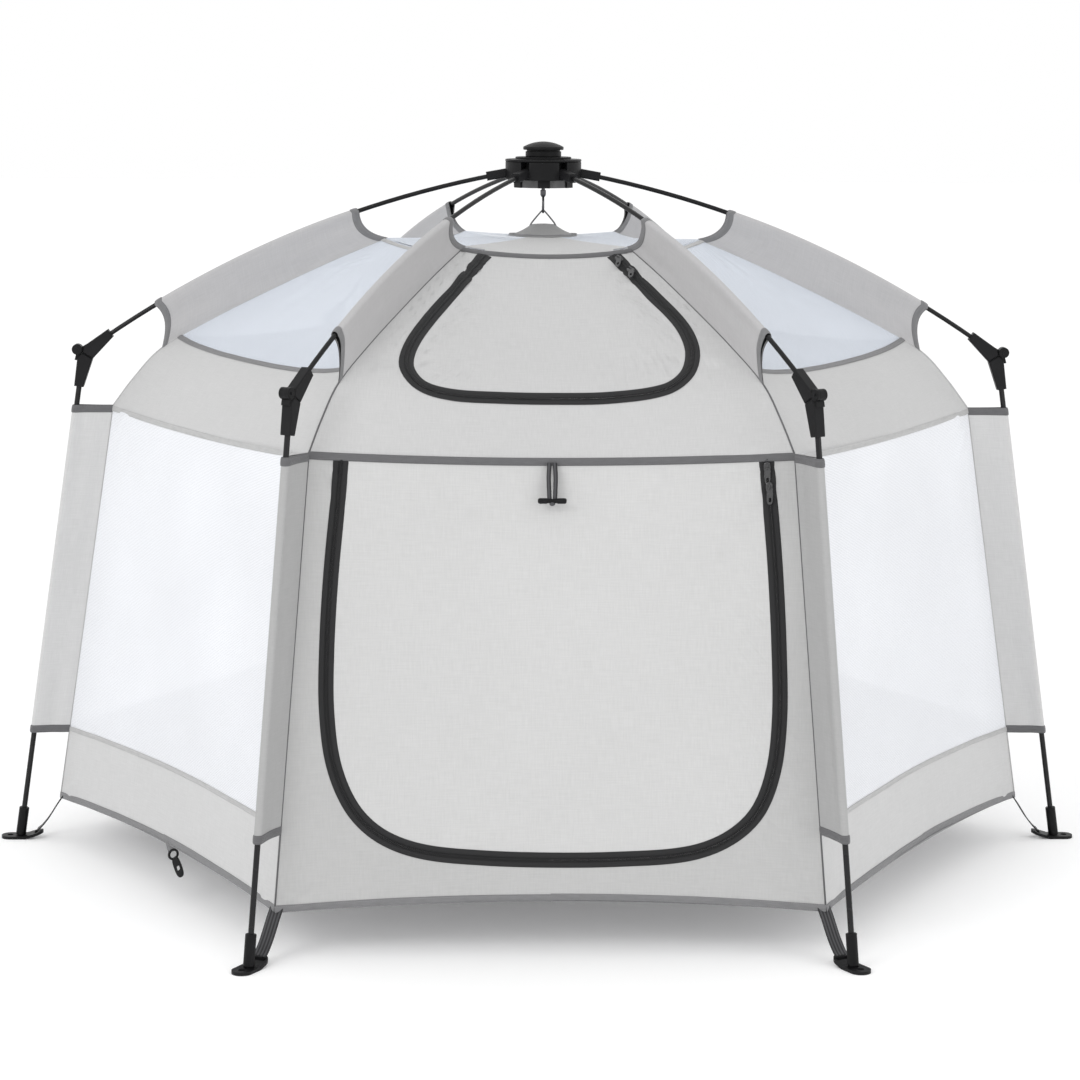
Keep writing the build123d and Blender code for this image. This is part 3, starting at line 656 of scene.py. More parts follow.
DOOR_TOP = WALL_H - 0.005
WINDOW_TOP = 1.0315


def door_level(u, slope_height):
    """Level of a place measured up the slope from the hem's corners."""
    share = slope_height / WALL_H
    bow = 1 - (2 * u / lerp(HEM_R, WAIST_R, share)) ** 2
    return slope_height - (HEM_RISE * (1 - share) ** 2 - WAIST_SAG * share**2) * bow


def window_level(u, height):
    share = (height - WAIST_Z) / (RING_Z - WAIST_Z)
    bow = 1 - (2 * u / seam_radius(height)) ** 2
    return height + along_knots(DROP_KNOTS, share) * bow


DOOR_LEFT = (
    (-0.320, 0.620), (-0.331, 0.500), (-0.337, 0.390), (-0.337, 0.300), (-0.326, 0.218),
    (-0.298, 0.153), (-0.255, 0.112), (-0.195, 0.089), (-0.105, 0.079),
)
DOOR_RIGHT = (
    (0.105, 0.077), (0.205, 0.085), (0.265, 0.107), (0.310, 0.148), (0.334, 0.210),
    (0.343, 0.290), (0.342, 0.390), (0.336, 0.510), (0.327, 0.620),
)
WINDOW_LEFT = (
    (-0.140, 0.9825), (-0.187, 0.9345), (-0.214, 0.899), (-0.220, 0.872), (-0.198, 0.8475),
    (-0.152, 0.8345), (-0.080, 0.8305),
)
WINDOW_RIGHT = (
    (0.090, 0.8305), (0.172, 0.8415), (0.208, 0.863), (0.219, 0.893), (0.206, 0.9275),
    (0.163, 0.972),
)


def zip_path(left, middle, right, level_of, top, top_left, top_right):
    """Zip line from its top left end down round the bottom and up to its top right end."""
    levelled = [Vector((u, level_of(u, v), 0)) for u, v in (*left, middle, *right)]
    points = [Vector((top_left, top, 0)), *levelled, Vector((top_right, top, 0))]
    path = spline(points, 0.006)
    turn = min(range(len(path)), key=lambda i: (path[i] - levelled[len(left)]).length)
    return path, turn


def half_path(path, turn, hand):
    """The part of a zip line on one side of its turn, in the line's own direction."""
    return path[: turn + 1] if hand < 0 else path[turn:]


def door_gather(u, level):
    return (1.0 if u > 0.2 else 0.35) * smooth((WALL_H - level) / 0.04)


def window_gather(u, level):
    return smooth((abs(u) - 0.06) / 0.08) * smooth((level - 0.84) / 0.03)


DOOR_PATH, DOOR_TURN = zip_path(
    DOOR_LEFT, (0, 0.0755), DOOR_RIGHT, door_level, DOOR_TOP, -0.3155, 0.3215
)
WINDOW_PATH, WINDOW_TURN = zip_path(
    WINDOW_LEFT, (0, 0.829), WINDOW_RIGHT, window_level, WINDOW_TOP, -0.099, 0.108
)
DOOR_GUIDE = guide_for(DOOR_PATH, door_gather)
WINDOW_GUIDE = guide_for(WINDOW_PATH, window_gather)


# ------------------------------------------------------------------ riding
def panel_fold(piece, side, hand):
    """Gives half a panel a mesh of its own; it does not gather it as the frame folds."""
    out, along = axes_of(side)
    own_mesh(piece)


def carry(piece, body, slot):
    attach(piece, body)
    return piece


def blend_shoulder(piece, corner):
    """Bakes the place of a piece beside a corner seam into its mesh; it does not bend it."""
    start, end = at_corner(corner, HIP_R, HIP_Z), at_corner(corner, WAIST_R, WAIST_Z)
    tuple(start)
    tuple(end)
    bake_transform(piece)


def on_wall(piece, side, hand, slot="canvas_grey", body=None):
    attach(piece, body or "leg_" + corner_at(side, hand))
    panel_fold(piece, side, hand)
    return piece


def on_roof(piece, side, hand, slot="canvas_grey", body=None):
    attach(piece, body or "arm_" + corner_at(side, hand))
    panel_fold(piece, side, hand)
    return piece


def spread(low, high, count):
    return [lerp(low, high, i / count) for i in range(count + 1)]


def hint_of(side):
    return axes_of(side)[0] + UP * 0.6


def hand_name(hand):
    return "a" if hand < 0 else "b"


def half_grid(half_at, hand, levels, columns):
    """Rows of places over half a panel, from its middle to its corner seam."""
    return [[(hand * half_at(level) * c, level) for c in spread(0, 1, columns)] for level in levels]


def ribbon_parts(points, normals, inner, outer, lift, crown=0.0007):
    """Points, faces and weave places of a tape that reaches from inner to outer beside a line."""
    heights = ((0, 0.25), (0.1, 0.9), (0.5, 1.0), (0.9, 0.9), (1, 0.25))
    profile = [(lerp(inner, outer, share), height) for share, height in heights]
    verts, uvs = [], []
    for normal, (point, way, run) in zip(normals, stations(points)):
        aside = normal.cross(way.normalized()).normalized()
        for offset, height in profile:
            verts.append(point + aside * offset + normal * (lift * height + crown * height))
            uvs.append((run, abs(offset - inner)))
    return verts, grid_faces(len(points), len(profile), True), uvs


def ribbon(name, points, normals, inner, outer, lift, material):
    verts, faces, uvs = ribbon_parts(points, normals, inner, outer, lift)
    return make_mesh(name, verts, faces, [material], uvs)


def surface_ribbon(name, surface, path, hint, inner, outer, lift, material):
    points = [surface(a, b) for a, b in path]
    normals = [surface_normal(surface, a, b, hint) for a, b in path]
    return ribbon(name, points, normals, inner, outer, lift, material)


# ------------------------------------------------------------------ walls
def build_side_walls():
    seams = (("skirt_seam_", SKIRT, 0.004), ("waist_seam_", WALL_SEAM_Z, 0.005))
    for side, label in SIDES.items():
        if side == FRONT:
            continue
        surface, hint = partial(wall_point, side), hint_of(side)
        for hand in HANDS:
            name = label + "_" + hand_name(hand)
            grid = half_grid(wall_half, hand, spread(0, SKIRT, 8), 22)
            skirt = cloth("skirt_" + name, surface, grid, CANVAS_SKIRT, hint)
            grid = half_grid(wall_half, hand, spread(SKIRT, WALL_H, 28), 22)
            net = cloth("net_wall_" + name, surface, grid, NET_WALL, hint)
            on_wall(sheet(skirt), side, hand)
            on_wall(sheet(net), side, hand, "mesh_white")
            for kind, level, wide in seams:
                path = half_grid(wall_half, hand, [level], 24)[0]
                seam = surface_ribbon(kind + name, surface, path, hint, -wide, wide, 0.0008, SELF_SEAM)
                on_wall(seam, side, hand)


def u_grid(path, turn, hand, half_at, top, low_level, rows):
    """Places from a zip line out to the edge of half a panel."""
    part = half_path(path, turn, hand)[::-hand]
    widest = max(range(len(part)), key=lambda i: abs(part[i].x))
    last = len(part) - 1
    low_edge = part[widest].y
    corner_run = (low_edge - low_level) / (low_edge - low_level + half_at(low_level))
    bend = widest + round(corner_run * (last - widest))
    border = []
    for i, point in enumerate(part):
        if i <= widest:
            level = lerp(top, low_edge, (part[0].y - point.y) / (part[0].y - low_edge))
            border.append((hand * half_at(level), level))
        elif i <= bend:
            level = lerp(low_edge, low_level, (i - widest) / (bend - widest))
            border.append((hand * half_at(level), level))
        else:
            border.append((hand * half_at(low_level) * (last - i) / (last - bend), low_level))
    grid = []
    for c in spread(0, 1, rows):
        ease = c**1.25
        grid.append([(lerp(p.x, b[0], ease), lerp(p.y, b[1], ease)) for p, b in zip(part, border)])
    return grid


def flap_grid(path, rings):
    """Places over a flap: copies of its outline that shrink towards its top edge."""
    centre = (path[0] + path[-1]) / 2
    grid = []
    for c in spread(0, 1, rings):
        size = max(0.004, 1 - c)
        grid.append([(lerp(centre.x, p.x, size), lerp(centre.y, p.y, size)) for p in path])
    return grid


def zip_half(name, surface, path, hint, sign):
    """Half of a zip: its tape and the row of teeth along the tape's edge."""
    points = [surface(p.x, p.y) for p in path]
    normals = [surface_normal(surface, p.x, p.y, hint) for p in path]
    verts, faces, uvs = ribbon_parts(points, normals, sign * 0.0006, sign * 0.0115, 0.0009, 0.0006)
    tape_faces = len(faces)
    profile = ((-0.0006, 0.0014), (0.0027, 0.0014), (0.0024, 0.0030), (-0.0002, 0.0030))
    pitch, reach = 0.0030, 0.0
    shift = 0.0 if sign > 0 else pitch / 2
    next_tooth = pitch + shift
    for i in range(len(points) - 1):
        step = (points[i + 1] - points[i]).length
        tangent = (points[i + 1] - points[i]).normalized()
        while next_tooth <= reach + step:
            share = (next_tooth - reach) / step
            centre = points[i].lerp(points[i + 1], share)
            normal = normals[i].lerp(normals[i + 1], share).normalized()
            aside = normal.cross(tangent).normalized() * sign
            base = len(verts)
            for along in (-0.0008, 0.0008):
                for across, high in profile:
                    verts.append(centre + tangent * along + aside * across + normal * high)
                    uvs.append((next_tooth, across))
            for quad in ((0, 1, 2, 3), (7, 6, 5, 4), (1, 5, 6, 2), (3, 2, 6, 7), (0, 3, 7, 4)):
                faces.append(tuple(base + k for k in (quad if sign > 0 else quad[::-1])))
            next_tooth += pitch
        reach += step
    kinds = [0] * tape_faces + [1] * (len(faces) - tape_faces)
    half = make_mesh(name, verts, faces, [ZIP_TAPE, COIL], uvs, face_materials=kinds)
    return half


def build_front_wall():
    surface, hint = partial(wall_point, FRONT), hint_of(FRONT)
    for hand in HANDS:
        grid = u_grid(DOOR_PATH, DOOR_TURN, hand, wall_half, WALL_H, 0.0, 16)
        panel = cloth("front_wall_" + hand_name(hand), surface, grid, CANVAS_WALL, hint)
        on_wall(sheet(panel), FRONT, hand)
        part = half_path(DOOR_PATH, DOOR_TURN, hand)
        teeth = zip_half("door_zip_wall_" + hand_name(hand), surface, part, hint, -1)
        on_wall(teeth, FRONT, hand, "zip_black")
    flap = cloth("door_cloth", surface, flap_grid(DOOR_PATH, 26), CANVAS_DOOR, hint)
    sheet(flap)
    teeth = zip_half("door_zip_flap", surface, DOOR_PATH, hint, 1)
    on_wall(flap, FRONT, -1, "canvas_grey", "door")
    on_wall(teeth, FRONT, -1, "zip_black", "door")
    return flap


# ------------------------------------------------------------------ roof
def roof_half(height):
    return seam_radius(height) / 2


def trim_height(across):
    return TRIM_Z + 0.005 * across**4


def roof_place(across, height):
    """Place on a roof panel: across is -1 and 1 on its corner seams."""
    return across * roof_half(height), height


def roof_weave(u, height):
    return u, (height - WAIST_Z) * ROOF_WEAVE


def peak_weave(u, share):
    return u, share * PEAK_WEAVE


def peak_cloth(name, side, hand, columns, material):
    rows = [[(hand * c * lerp(RING_R, PEAK_R, s) / 2, s) for c in columns] for s in spread(0, 1, 8)]
    return cloth(name, partial(apex_point, side), rows, material, UP, peak_weave)


def build_side_roofs():
    columns = spread(0, 1, 20)
    for side, label in SIDES.items():
        if side == FRONT:
            continue
        surface, hint = partial(roof_point, side), hint_of(side)
        for hand in HANDS:
            name = label + "_" + hand_name(hand)
            rows = [[roof_place(hand * c, lerp(WAIST_Z, trim_height(c), r)) for c in columns]
                    for r in spread(0, 1, 10)]
            band = cloth("roof_band_" + name, surface, rows, CANVAS_BAND, hint, roof_weave)
            rows = [[roof_place(hand * c, lerp(trim_height(c), RING_Z, r)) for c in columns]
                    for r in spread(0, 1, 20)]
            net = cloth("roof_net_" + name, surface, rows, NET_ROOF, hint, roof_weave)
            peak = peak_cloth("peak_net_" + name, side, hand, columns, NET_ROOF)
            on_roof(sheet(band), side, hand)
            on_roof(sheet(net), side, hand, "mesh_white")
            on_roof(sheet(peak), side, hand, "mesh_white")
            path = [roof_place(hand * c, trim_height(c)) for c in columns]
            trim = surface_ribbon("roof_trim_" + name, surface, path, hint, -0.005, 0.005, 0.0009, BINDING)
            path = [roof_place(hand * c, RING_Z - 0.003) for c in columns]
            ring = surface_ribbon("ring_trim_" + name, surface, path, hint, -0.004, 0.004, 0.0009, SELF_SEAM)
            on_roof(trim, side, hand, "binding_grey")
            on_roof(ring, side, hand)


def build_front_roof():
    surface, hint = partial(roof_point, FRONT), hint_of(FRONT)
    columns = spread(0, 1, 24)
    for hand in HANDS:
        name = "front_" + hand_name(hand)
        grid = u_grid(WINDOW_PATH, WINDOW_TURN, hand, roof_half, RING_Z, WAIST_Z, 22)
        panel = cloth("roof_" + name, surface, grid, CANVAS_ROOF, hint, roof_weave)
        on_roof(sheet(panel), FRONT, hand)
        part = half_path(WINDOW_PATH, WINDOW_TURN, hand)
        teeth = zip_half("window_zip_roof_" + hand_name(hand), surface, part, hint, -1)
        on_roof(teeth, FRONT, hand, "zip_black")
        edge = WINDOW_PATH[0] if hand < 0 else WINDOW_PATH[-1]
        grid = [[(edge.x * c, z) for c in spread(0, 1, 10)] for z in spread(edge.y, RING_Z, 3)]
        head = cloth("roof_head_" + name, surface, grid, CANVAS_ROOF, hint, roof_weave)
        on_roof(sheet(head), FRONT, hand)
        on_roof(sheet(peak_cloth("peak_" + name, FRONT, hand, columns, CANVAS_ROOF)), FRONT, hand)
        path = [roof_place(hand * c, RING_Z - 0.005) for c in columns]
        ring = surface_ribbon("ring_trim_" + name, surface, path, hint, -0.006, 0.006, 0.0016, BINDING_DARK)
        on_roof(ring, FRONT, hand, "binding_grey")
    flap = cloth("window_cloth", surface, flap_grid(WINDOW_PATH, 22), CANVAS_ROOF, hint, roof_weave)
    sheet(flap)
    teeth = zip_half("window_zip_flap", surface, WINDOW_PATH, hint, 1)
    on_roof(flap, FRONT, -1, "canvas_grey", "window")
    on_roof(teeth, FRONT, -1, "zip_black", "window")
    return flap


# ------------------------------------------------------------------ waist and hem bindings
def build_bindings():
    for side, label in SIDES.items():
        surface, hint = partial(wall_point, side), hint_of(side)
        for hand in HANDS:
            name = label + "_" + hand_name(hand)
            path = [(hand * wall_half(0) * c, 0.004) for c in spread(0, 1, 26)]
            hem = surface_ribbon("hem_" + name, surface, path, hint, -0.005, 0.006, 0.0010, BINDING)
            on_wall(hem, side, hand, "binding_grey")
            if side == FRONT:
                path = [(hand * wall_half(WALL_H) * c, WALL_H - 0.003) for c in spread(0, 1, 26)]
                name = "waist_" + name
                waist = surface_ribbon(name, surface, path, hint, -0.006, 0.006, 0.0020, BINDING_DARK)
                on_wall(waist, side, hand, "binding_grey")


# ------------------------------------------------------------------ sleeves on the poles
def leg_fin_lines(share):
    """Seam point and pole point, (radius, height), on a leg sleeve."""
    height = lerp(FIN_BOTTOM, WAIST_Z, share)
    radius = lerp(HEM_R, WAIST_R, (height - HEM_Z) / (WAIST_Z - HEM_Z))
    return Vector((radius, height)), Vector((leg_radius(height), height))


def roof_fin_lines(share):
    height = lerp(HIP_Z, RING_Z, share)
    radius = lerp(FIN_LOW_R, FIN_TOP_R, share)
    return Vector((seam_radius(height), height)), Vector((radius, arm_height(radius)))


def fin_point(corner, lines, hollow, pole, share, turn, grow=0.0):
    """Place on a sleeve: turn runs from -1 on the seam round the pole, 0, back to 1."""
    reach = min(1.0, (1 - abs(turn)) / 0.75)
    dip = hollow * 4 * reach * (1 - reach)
    bowed = lerp(dip, 1 - dip, share)
    seam, axis = lines(bowed)
    out = (axis - seam).normalized()
    side = 1 if turn >= 0 else -1
    seed = CORNERS[corner] * 0.07
    sway = 0.0025 * noise.noise(Vector((bowed * 3 + seed, reach * 2, seed)))
    sway *= smooth(reach * 4) * smooth((1 - reach) * 4)
    if abs(turn) > 0.25:
        thick = lerp(0.0006, pole, reach**2.2) + grow
        flat = seam.lerp(axis, reach)
        return at_corner(corner, flat.x, flat.y, side * thick + sway)
    angle = turn / 0.25 * pi / 2
    flat = axis + out * (pole + grow) * cos(angle)
    return at_corner(corner, flat.x, flat.y, (pole + grow) * sin(angle))


def build_fin(name, corner, lines, hollow, pole, body, material, trim):
    """A closed sleeve from a corner seam round its pole, with a near-black sheet inside as painted shadow and
    a binding at each end.
    """
    turns = [*spread(-1, -0.25, 12), *spread(-0.25, 0.25, 8)[1:-1], *spread(0.25, 1, 12)]
    length = (lines(1)[1] - lines(0)[1]).length

    def layer(label, shares, grows, finish, slot, origin=0, flip=True):
        points = [
            fin_point(corner, lines, hollow, pole, s, t, grow) for s, grow in zip(shares, grows) for t in turns
        ]
        uvs = [(t * 0.1, abs(s - origin) * length) for s in shares for t in turns]
        carry(make_mesh(label, points, grid_faces(len(shares), len(turns), flip), [finish], uvs), body, slot)

    layer("sleeve_" + name, spread(0, 1, 26), [0.0] * 27, material, "canvas_grey")
    # The near-black inner sheet is painted shadow for the dark inside the sleeve.
    layer("sleeve_painted_shadow_" + name, spread(0.004, 0.996, 8), [-0.0007] * 9, SLEEVE_SHADOW_SHEET, "canvas_grey")
    wide = 0.012 / length
    for where, end in enumerate(("low", "top")):
        shares = [-0.0012 / length, wide * 0.1, wide * 0.5, wide * 0.9, wide]
        if where:
            shares = [1 - s for s in shares]
        grows = (0.0002, 0.0012, 0.0014, 0.0012, 0.0003)
        layer(f"sleeve_{end}_{name}", shares, grows, trim, "binding_grey", where, not where)


def ring_faces(rings, count, holed=False):
    """Faces between rings of points: a closed bar, or a holed plate whose last ring joins the first."""
    faces = []
    for i in range(rings if holed else rings - 1):
        a, b = i * count, (i + 1) % rings * count
        for k in range(count):
            ahead = (k + 1) % count
            faces.append((a + k, a + ahead, b + ahead, b + k))
    if not holed:
        faces.append(tuple(range(count))[::-1])
        faces.append(tuple(range((rings - 1) * count, rings * count)))
    return faces


def bar_parts(points, radius):
    """Points, faces and weave places of a round bar along a line of points."""
    verts, uvs = [], []
    for point, way, run in stations(points):
        tangent = way.normalized()
        if verts:
            first = (first - tangent * first.dot(tangent)).normalized()
        else:
            first = tangent.orthogonal().normalized()
        second = tangent.cross(first)
        for k in range(BAR_SIDES):
            angle = 2 * pi * k / BAR_SIDES
            verts.append(point + (first * cos(angle) + second * sin(angle)) * radius)
            uvs.append((run, k / BAR_SIDES * 2 * pi * radius))
    return verts, ring_faces(len(points), BAR_SIDES), uvs


def tube(name, points, radius, material):
    """A round bar along a line of points."""
    verts, faces, uvs = bar_parts(points, radius)
    return make_mesh(name, verts, faces, [material], uvs)


def stack_parts(origin, axes, rings, squareness=0.7, holed=False):
    """Rounded outlines, (half width, half length, shift, height), stacked along the third axis."""
    across, up, normal = axes
    verts, uvs = [], []
    for half_width, half_length, shift, height in rings:
        for k in range(STACK_SIDES):
            angle = 2 * pi * k / STACK_SIDES
            x = half_width * copysign(abs(cos(angle)) ** squareness, cos(angle))
            y = half_length * copysign(abs(sin(angle)) ** squareness, sin(angle)) + shift
            verts.append(origin + across * x + up * y + normal * height)
            uvs.append((x, y))
    return verts, ring_faces(len(rings), STACK_SIDES, holed), uvs


def strap_parts(points, across, half_width, half_thick):
    """Flat webbing along a line of points."""
    verts, uvs = [], []
    for point, way, run in stations(points):
        normal = across.cross(way).normalized()
        for side, high in ((-1, -1), (-1, 1), (1, 1), (1, -1)):
            verts.append(point + across * side * half_width + normal * high * half_thick)
            uvs.append((run, half_width * (1 + side)))
    return verts, ring_faces(len(points), 4), uvs


def merged(name, parts, materials, kinds=None):
    """One object from several small solids."""
    verts, faces, uvs, face_kinds = [], [], [], []
    for index, (more_verts, more_faces, more_uvs) in enumerate(parts):
        faces += [tuple(len(verts) + k for k in face) for face in more_faces]
        face_kinds += [kinds[index] if kinds else 0] * len(more_faces)
        verts += more_verts
        uvs += more_uvs
    piece = make_mesh(name, verts, faces, materials, uvs, face_materials=face_kinds)
    piece.data.set_sharp_from_angle(angle=radians(40))
    return piece


def seam_line(corner, heights):
    return [at_corner(corner, seam_radius(z), z) for z in heights]


def build_corners():
    """Sleeves on the poles, and the piping along each corner seam."""
    for corner in CORNERS:
        front = corner in ("fl", "fr")
        arm, leg = "arm_" + corner, "leg_" + corner
        # The front leg sleeves take the darker copy of the canvas, as painted shade, and the side ones the
        # paler copy, as painted light.
        canvas_leg = CANVAS_LEG_SHADED if front else CANVAS_LEG
        build_fin(leg, corner, leg_fin_lines, 0.0, 0.0066, leg, canvas_leg, BINDING_DARK)
        build_fin("roof_" + corner, corner, roof_fin_lines, 0.035, 0.0060, arm, CANVAS_FIN, BINDING)
        seam = BINDING_DARK if front else SELF_SEAM
        line = seam_line(corner, spread(HIP_Z, RING_Z, 24))
        carry(tube("seam_roof_" + corner, line, SEAM_PIPE_R, seam), arm, "binding_grey")
        line = [at_corner(corner, HEM_R, HEM_Z), at_corner(corner, WAIST_R, WAIST_Z)]
        carry(tube("seam_wall_" + corner, line, SEAM_PIPE_R, seam), leg, "binding_grey")
        line = seam_line(corner, spread(WAIST_Z, HIP_Z, 12))
        blend_shoulder(tube("seam_shoulder_" + corner, line, SEAM_PIPE_R, seam), corner)


# ------------------------------------------------------------------ straps, floor, cap
def build_straps():
    """Webbing from each bottom corner down to the slot in the foot."""
    route = [(0.822, 0.078), (0.832, 0.064), (0.850, 0.036), (0.864, 0.019), (0.8700, 0.0145)]
    for corner in CORNERS:
        points = spline([at_corner(corner, r, z) for r, z in route], 0.003)
        across = axes_of(CORNERS[corner])[1]
        strap = merged("strap_" + corner, [strap_parts(points, across, 0.0115, 0.0010)], [WEBBING])
        carry(strap, "leg_" + corner, "webbing_black")


def shoulder_point(side, hand, inward, height):
    """Place on a facing strip: inward is the distance from the corner seam."""
    return roof_point(side, hand * (roof_half(height) - 0.001 - inward), height, -0.0016)


def build_shoulders():
    """Inner facing strips beside each corner seam, between wall and roof."""
    heights = spread(WAIST_Z + 0.001, HIP_Z + 0.012, 14)
    grid = [[(inward, z) for inward in spread(0, 0.045, 6)] for z in heights]
    for side, label in SIDES.items():
        for hand in HANDS:
            surface = partial(shoulder_point, side, hand)
            name = f"shoulder_{label}_{hand_name(hand)}"
            strip = sheet(cloth(name, surface, grid, CANVAS_BAND, hint_of(side)))
            blend_shoulder(strip, corner_at(side, hand))


def slider_parts(place, across, run_up, hang_up, normal):
    """A zip slider: body, bridge and a holed pull tab that hangs from the bridge."""
    seat = place + normal * 0.0026
    body = stack_parts(seat, (across, run_up, normal), (
        (0.0046, 0.0070, 0, 0), (0.0055, 0.0080, 0, 0.0008),
        (0.0055, 0.0080, 0, 0.0030), (0.0042, 0.0064, 0, 0.0042),
    ))
    arch = [(0.0052, 0.0036), (0.0042, 0.0064), (0.0010, 0.0078), (-0.0026, 0.0074), (-0.0048, 0.0036)]
    bridge = bar_parts(spline([seat + run_up * y + normal * z for y, z in arch], 0.001), 0.0011)
    hinge = seat - run_up * 0.0010 + normal * 0.0058
    tab = stack_parts(hinge - hang_up * 0.0115, (across, hang_up, normal), (
        (0.0044, 0.0128, 0, -0.0011), (0.0050, 0.0136, 0, 0), (0.0044, 0.0128, 0, 0.0011),
        (0.0020, 0.0034, -0.0060, 0.0011), (0.0020, 0.0034, -0.0060, -0.0011),
    ), holed=True)
    return [body, bridge, tab]


def build_sliders(name, node, surface, path, hint, fasten, places):
    """Two sliders near the top right end of a zip, at these runs from it."""
    parts = []
    for from_end in places:
        index, run = len(path) - 1, 0.0
        while run < from_end:
            run += (path[index] - path[index - 1]).length
            index -= 1
        place = path[index]
        here = surface(place.x, place.y)
        normal = surface_normal(surface, place.x, place.y, hint)
        run_up = (surface(path[index + 1].x, path[index + 1].y) - here).normalized()
        hang_up = (UP - normal * normal.z).normalized()
        hang_up = (hang_up + run_up * 0.5).normalized()
        parts += slider_parts(here, run_up.cross(normal).normalized(), run_up, hang_up, normal)
    piece = merged(name, parts, [SLIDER])
    fasten(piece, FRONT, 1, "zip_black", name)
    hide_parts(node)


def build_toggle():
    """Toggle bar on two tapes that hang from the waist in front of the door."""
    top, bar_at = Vector((0, -0.6295, 0.7400)), Vector((0, -0.6480, 0.6850))
    parts = [stack_parts(bar_at, (NORTH, UP, EAST), (
        (0.0022, 0.0022, 0, -0.0215), (0.0036, 0.0036, 0, -0.0207), (0.0043, 0.0043, 0, -0.0185),
        (0.0043, 0.0043, 0, -0.0085), (0.0034, 0.0034, 0, -0.0070), (0.0034, 0.0034, 0, 0.0070),
        (0.0043, 0.0043, 0, 0.0085), (0.0043, 0.0043, 0, 0.0185), (0.0036, 0.0036, 0, 0.0207),
        (0.0022, 0.0022, 0, 0.0215),
    ), squareness=1.0)]
    for hand in HANDS:
        route = [
            top + Vector((hand * 0.0040, 0, 0)), top + Vector((hand * 0.0052, -0.008, -0.020)),
            bar_at + Vector((hand * 0.0046, 0.004, 0.014)), bar_at + Vector((hand * 0.0038, 0.0005, -0.0035)),
        ]
        parts.append(strap_parts(spline(route, 0.003), EAST, 0.0033, 0.0009))
    knot = bar_at - UP * 0.0045
    parts.append(stack_parts(knot, (EAST, NORTH, UP), (
        (0.0016, 0.0016, 0, -0.0030), (0.0040, 0.0034, 0, -0.0015),
        (0.0044, 0.0036, 0, 0.0010), (0.0030, 0.0030, 0, 0.0030),
    ), squareness=1.0))
    piece = merged("toggle", parts, [PLASTIC, WEBBING], (0, 1, 1, 1))
    on_wall(piece, FRONT, -1, "webbing_black", "toggle")
    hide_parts("toggle_tie")


def build_hook():
    """Swivel snap hook under the hub: barrel, wire eye and the gate that closes it."""
    low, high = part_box("snap_hook")
    top, eye_top = Vector((0, 0, high[2])), high[2] - 0.0155
    barrel = stack_parts(top, (EAST, -NORTH, -UP), (
        (0.0030, 0.0030, 0, 0), (0.0030, 0.0030, 0, 0.0040), (0.0048, 0.0048, 0, 0.0048),
        (0.0048, 0.0048, 0, 0.0120), (0.0036, 0.0036, 0, 0.0150), (0.0022, 0.0022, 0, 0.0162),
    ), squareness=1.0)
    half, base = 0.0052, low[2] + 0.0022
    outline = [
        (0, eye_top), (-half, eye_top - 0.007), (-half, base + 0.007), (0, base),
        (half, base + 0.006), (half, base + 0.010),
    ]
    wire = bar_parts(spline([Vector((0, y, z)) for y, z in outline], 0.0012), 0.0020)
    line = [(half, base + 0.0095), (half * 0.9, eye_top - 0.005), (0, eye_top)]
    gate = bar_parts([Vector((0, y, z)) for y, z in line], 0.0015)
    piece = merged("hook", [barrel, wire, gate], [HOOK_STEEL])
    carry(piece, "hook", "pin_steel")
    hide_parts("snap_hook")


def build_hem_clip():
    """Webbing tab, ring and holed plastic tongue that hang under the left hem."""
    out, along = axes_of(CLIP_SIDE)
    facing = (out + Vector((0.6, -1.4, 0))).normalized()
    hem = wall_point(CLIP_SIDE, CLIP_U, 0.0)
    lean = (UP * -0.70 + along * 0.71).normalized()
    across = lean.cross(facing).normalized()
    facing = across.cross(lean)
    parts = [strap_parts([hem + UP * 0.004, hem + lean * 0.006, hem + lean * 0.015], across, 0.0065, 0.0012)]
    ring_at = hem + lean * 0.021
    circle = [ring_at + (across * cos(a) + lean * sin(a)) * 0.0078 for a in spread(0, 2 * pi, 28)]
    parts.append(bar_parts(circle, 0.0021))
    parts.append(stack_parts(ring_at + lean * 0.024, (across, -lean, -facing), (
        (0.0062, 0.0180, 0, -0.0016), (0.0070, 0.0190, 0, -0.0006),
        (0.0070, 0.0190, 0, 0.0006), (0.0062, 0.0180, 0, 0.0016),
        (0.0030, 0.0046, -0.002, 0.0016), (0.0030, 0.0046, -0.002, -0.0016),
    ), holed=True))
    piece = merged("hem_clip", parts, [BINDING, PLASTIC], (0, 1, 1))
    on_wall(piece, CLIP_SIDE, CLIP_HAND, "frame_plastic")


def floor_point(corner, hand, across, inward):
    """Place on the floor: across 0 on the corner's line, 1 on the side's middle; inward 0 at the hem."""
    out, along = axes_of(CORNERS[corner])
    half = FLOOR_R * C30 * 0.5
    edge = out * lerp(FLOOR_R, half * 3**0.5, across) + along * hand * half * across
    place = edge * (1 - inward)
    wave = 0.004 * noise.noise(Vector((place.x * 3, place.y * 3, 5.0))) * smooth(inward * 6)
    rise = HEM_RISE * (1 - (1 - across) ** 2) * (1 - smooth(inward * 3))
    return place + UP * (HEM_Z - 0.001 + wave + rise)


def floor_weave(across, inward):
    return across * 0.36, inward * 0.80


def build_floor():
    grid = [[(across, inward) for across in spread(0, 1, 16)] for inward in spread(0, 0.9995, 24)]
    for corner, angle in CORNERS.items():
        out, along = axes_of(angle)
        for hand in HANDS:
            surface = partial(floor_point, corner, hand)
            name = f"floor_{corner}_{hand_name(hand)}"
            kite = sheet(cloth(name, surface, grid, FLOOR_CLOTH, UP, floor_weave))
            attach(kite, "floor_" + corner)
            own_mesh(kite)


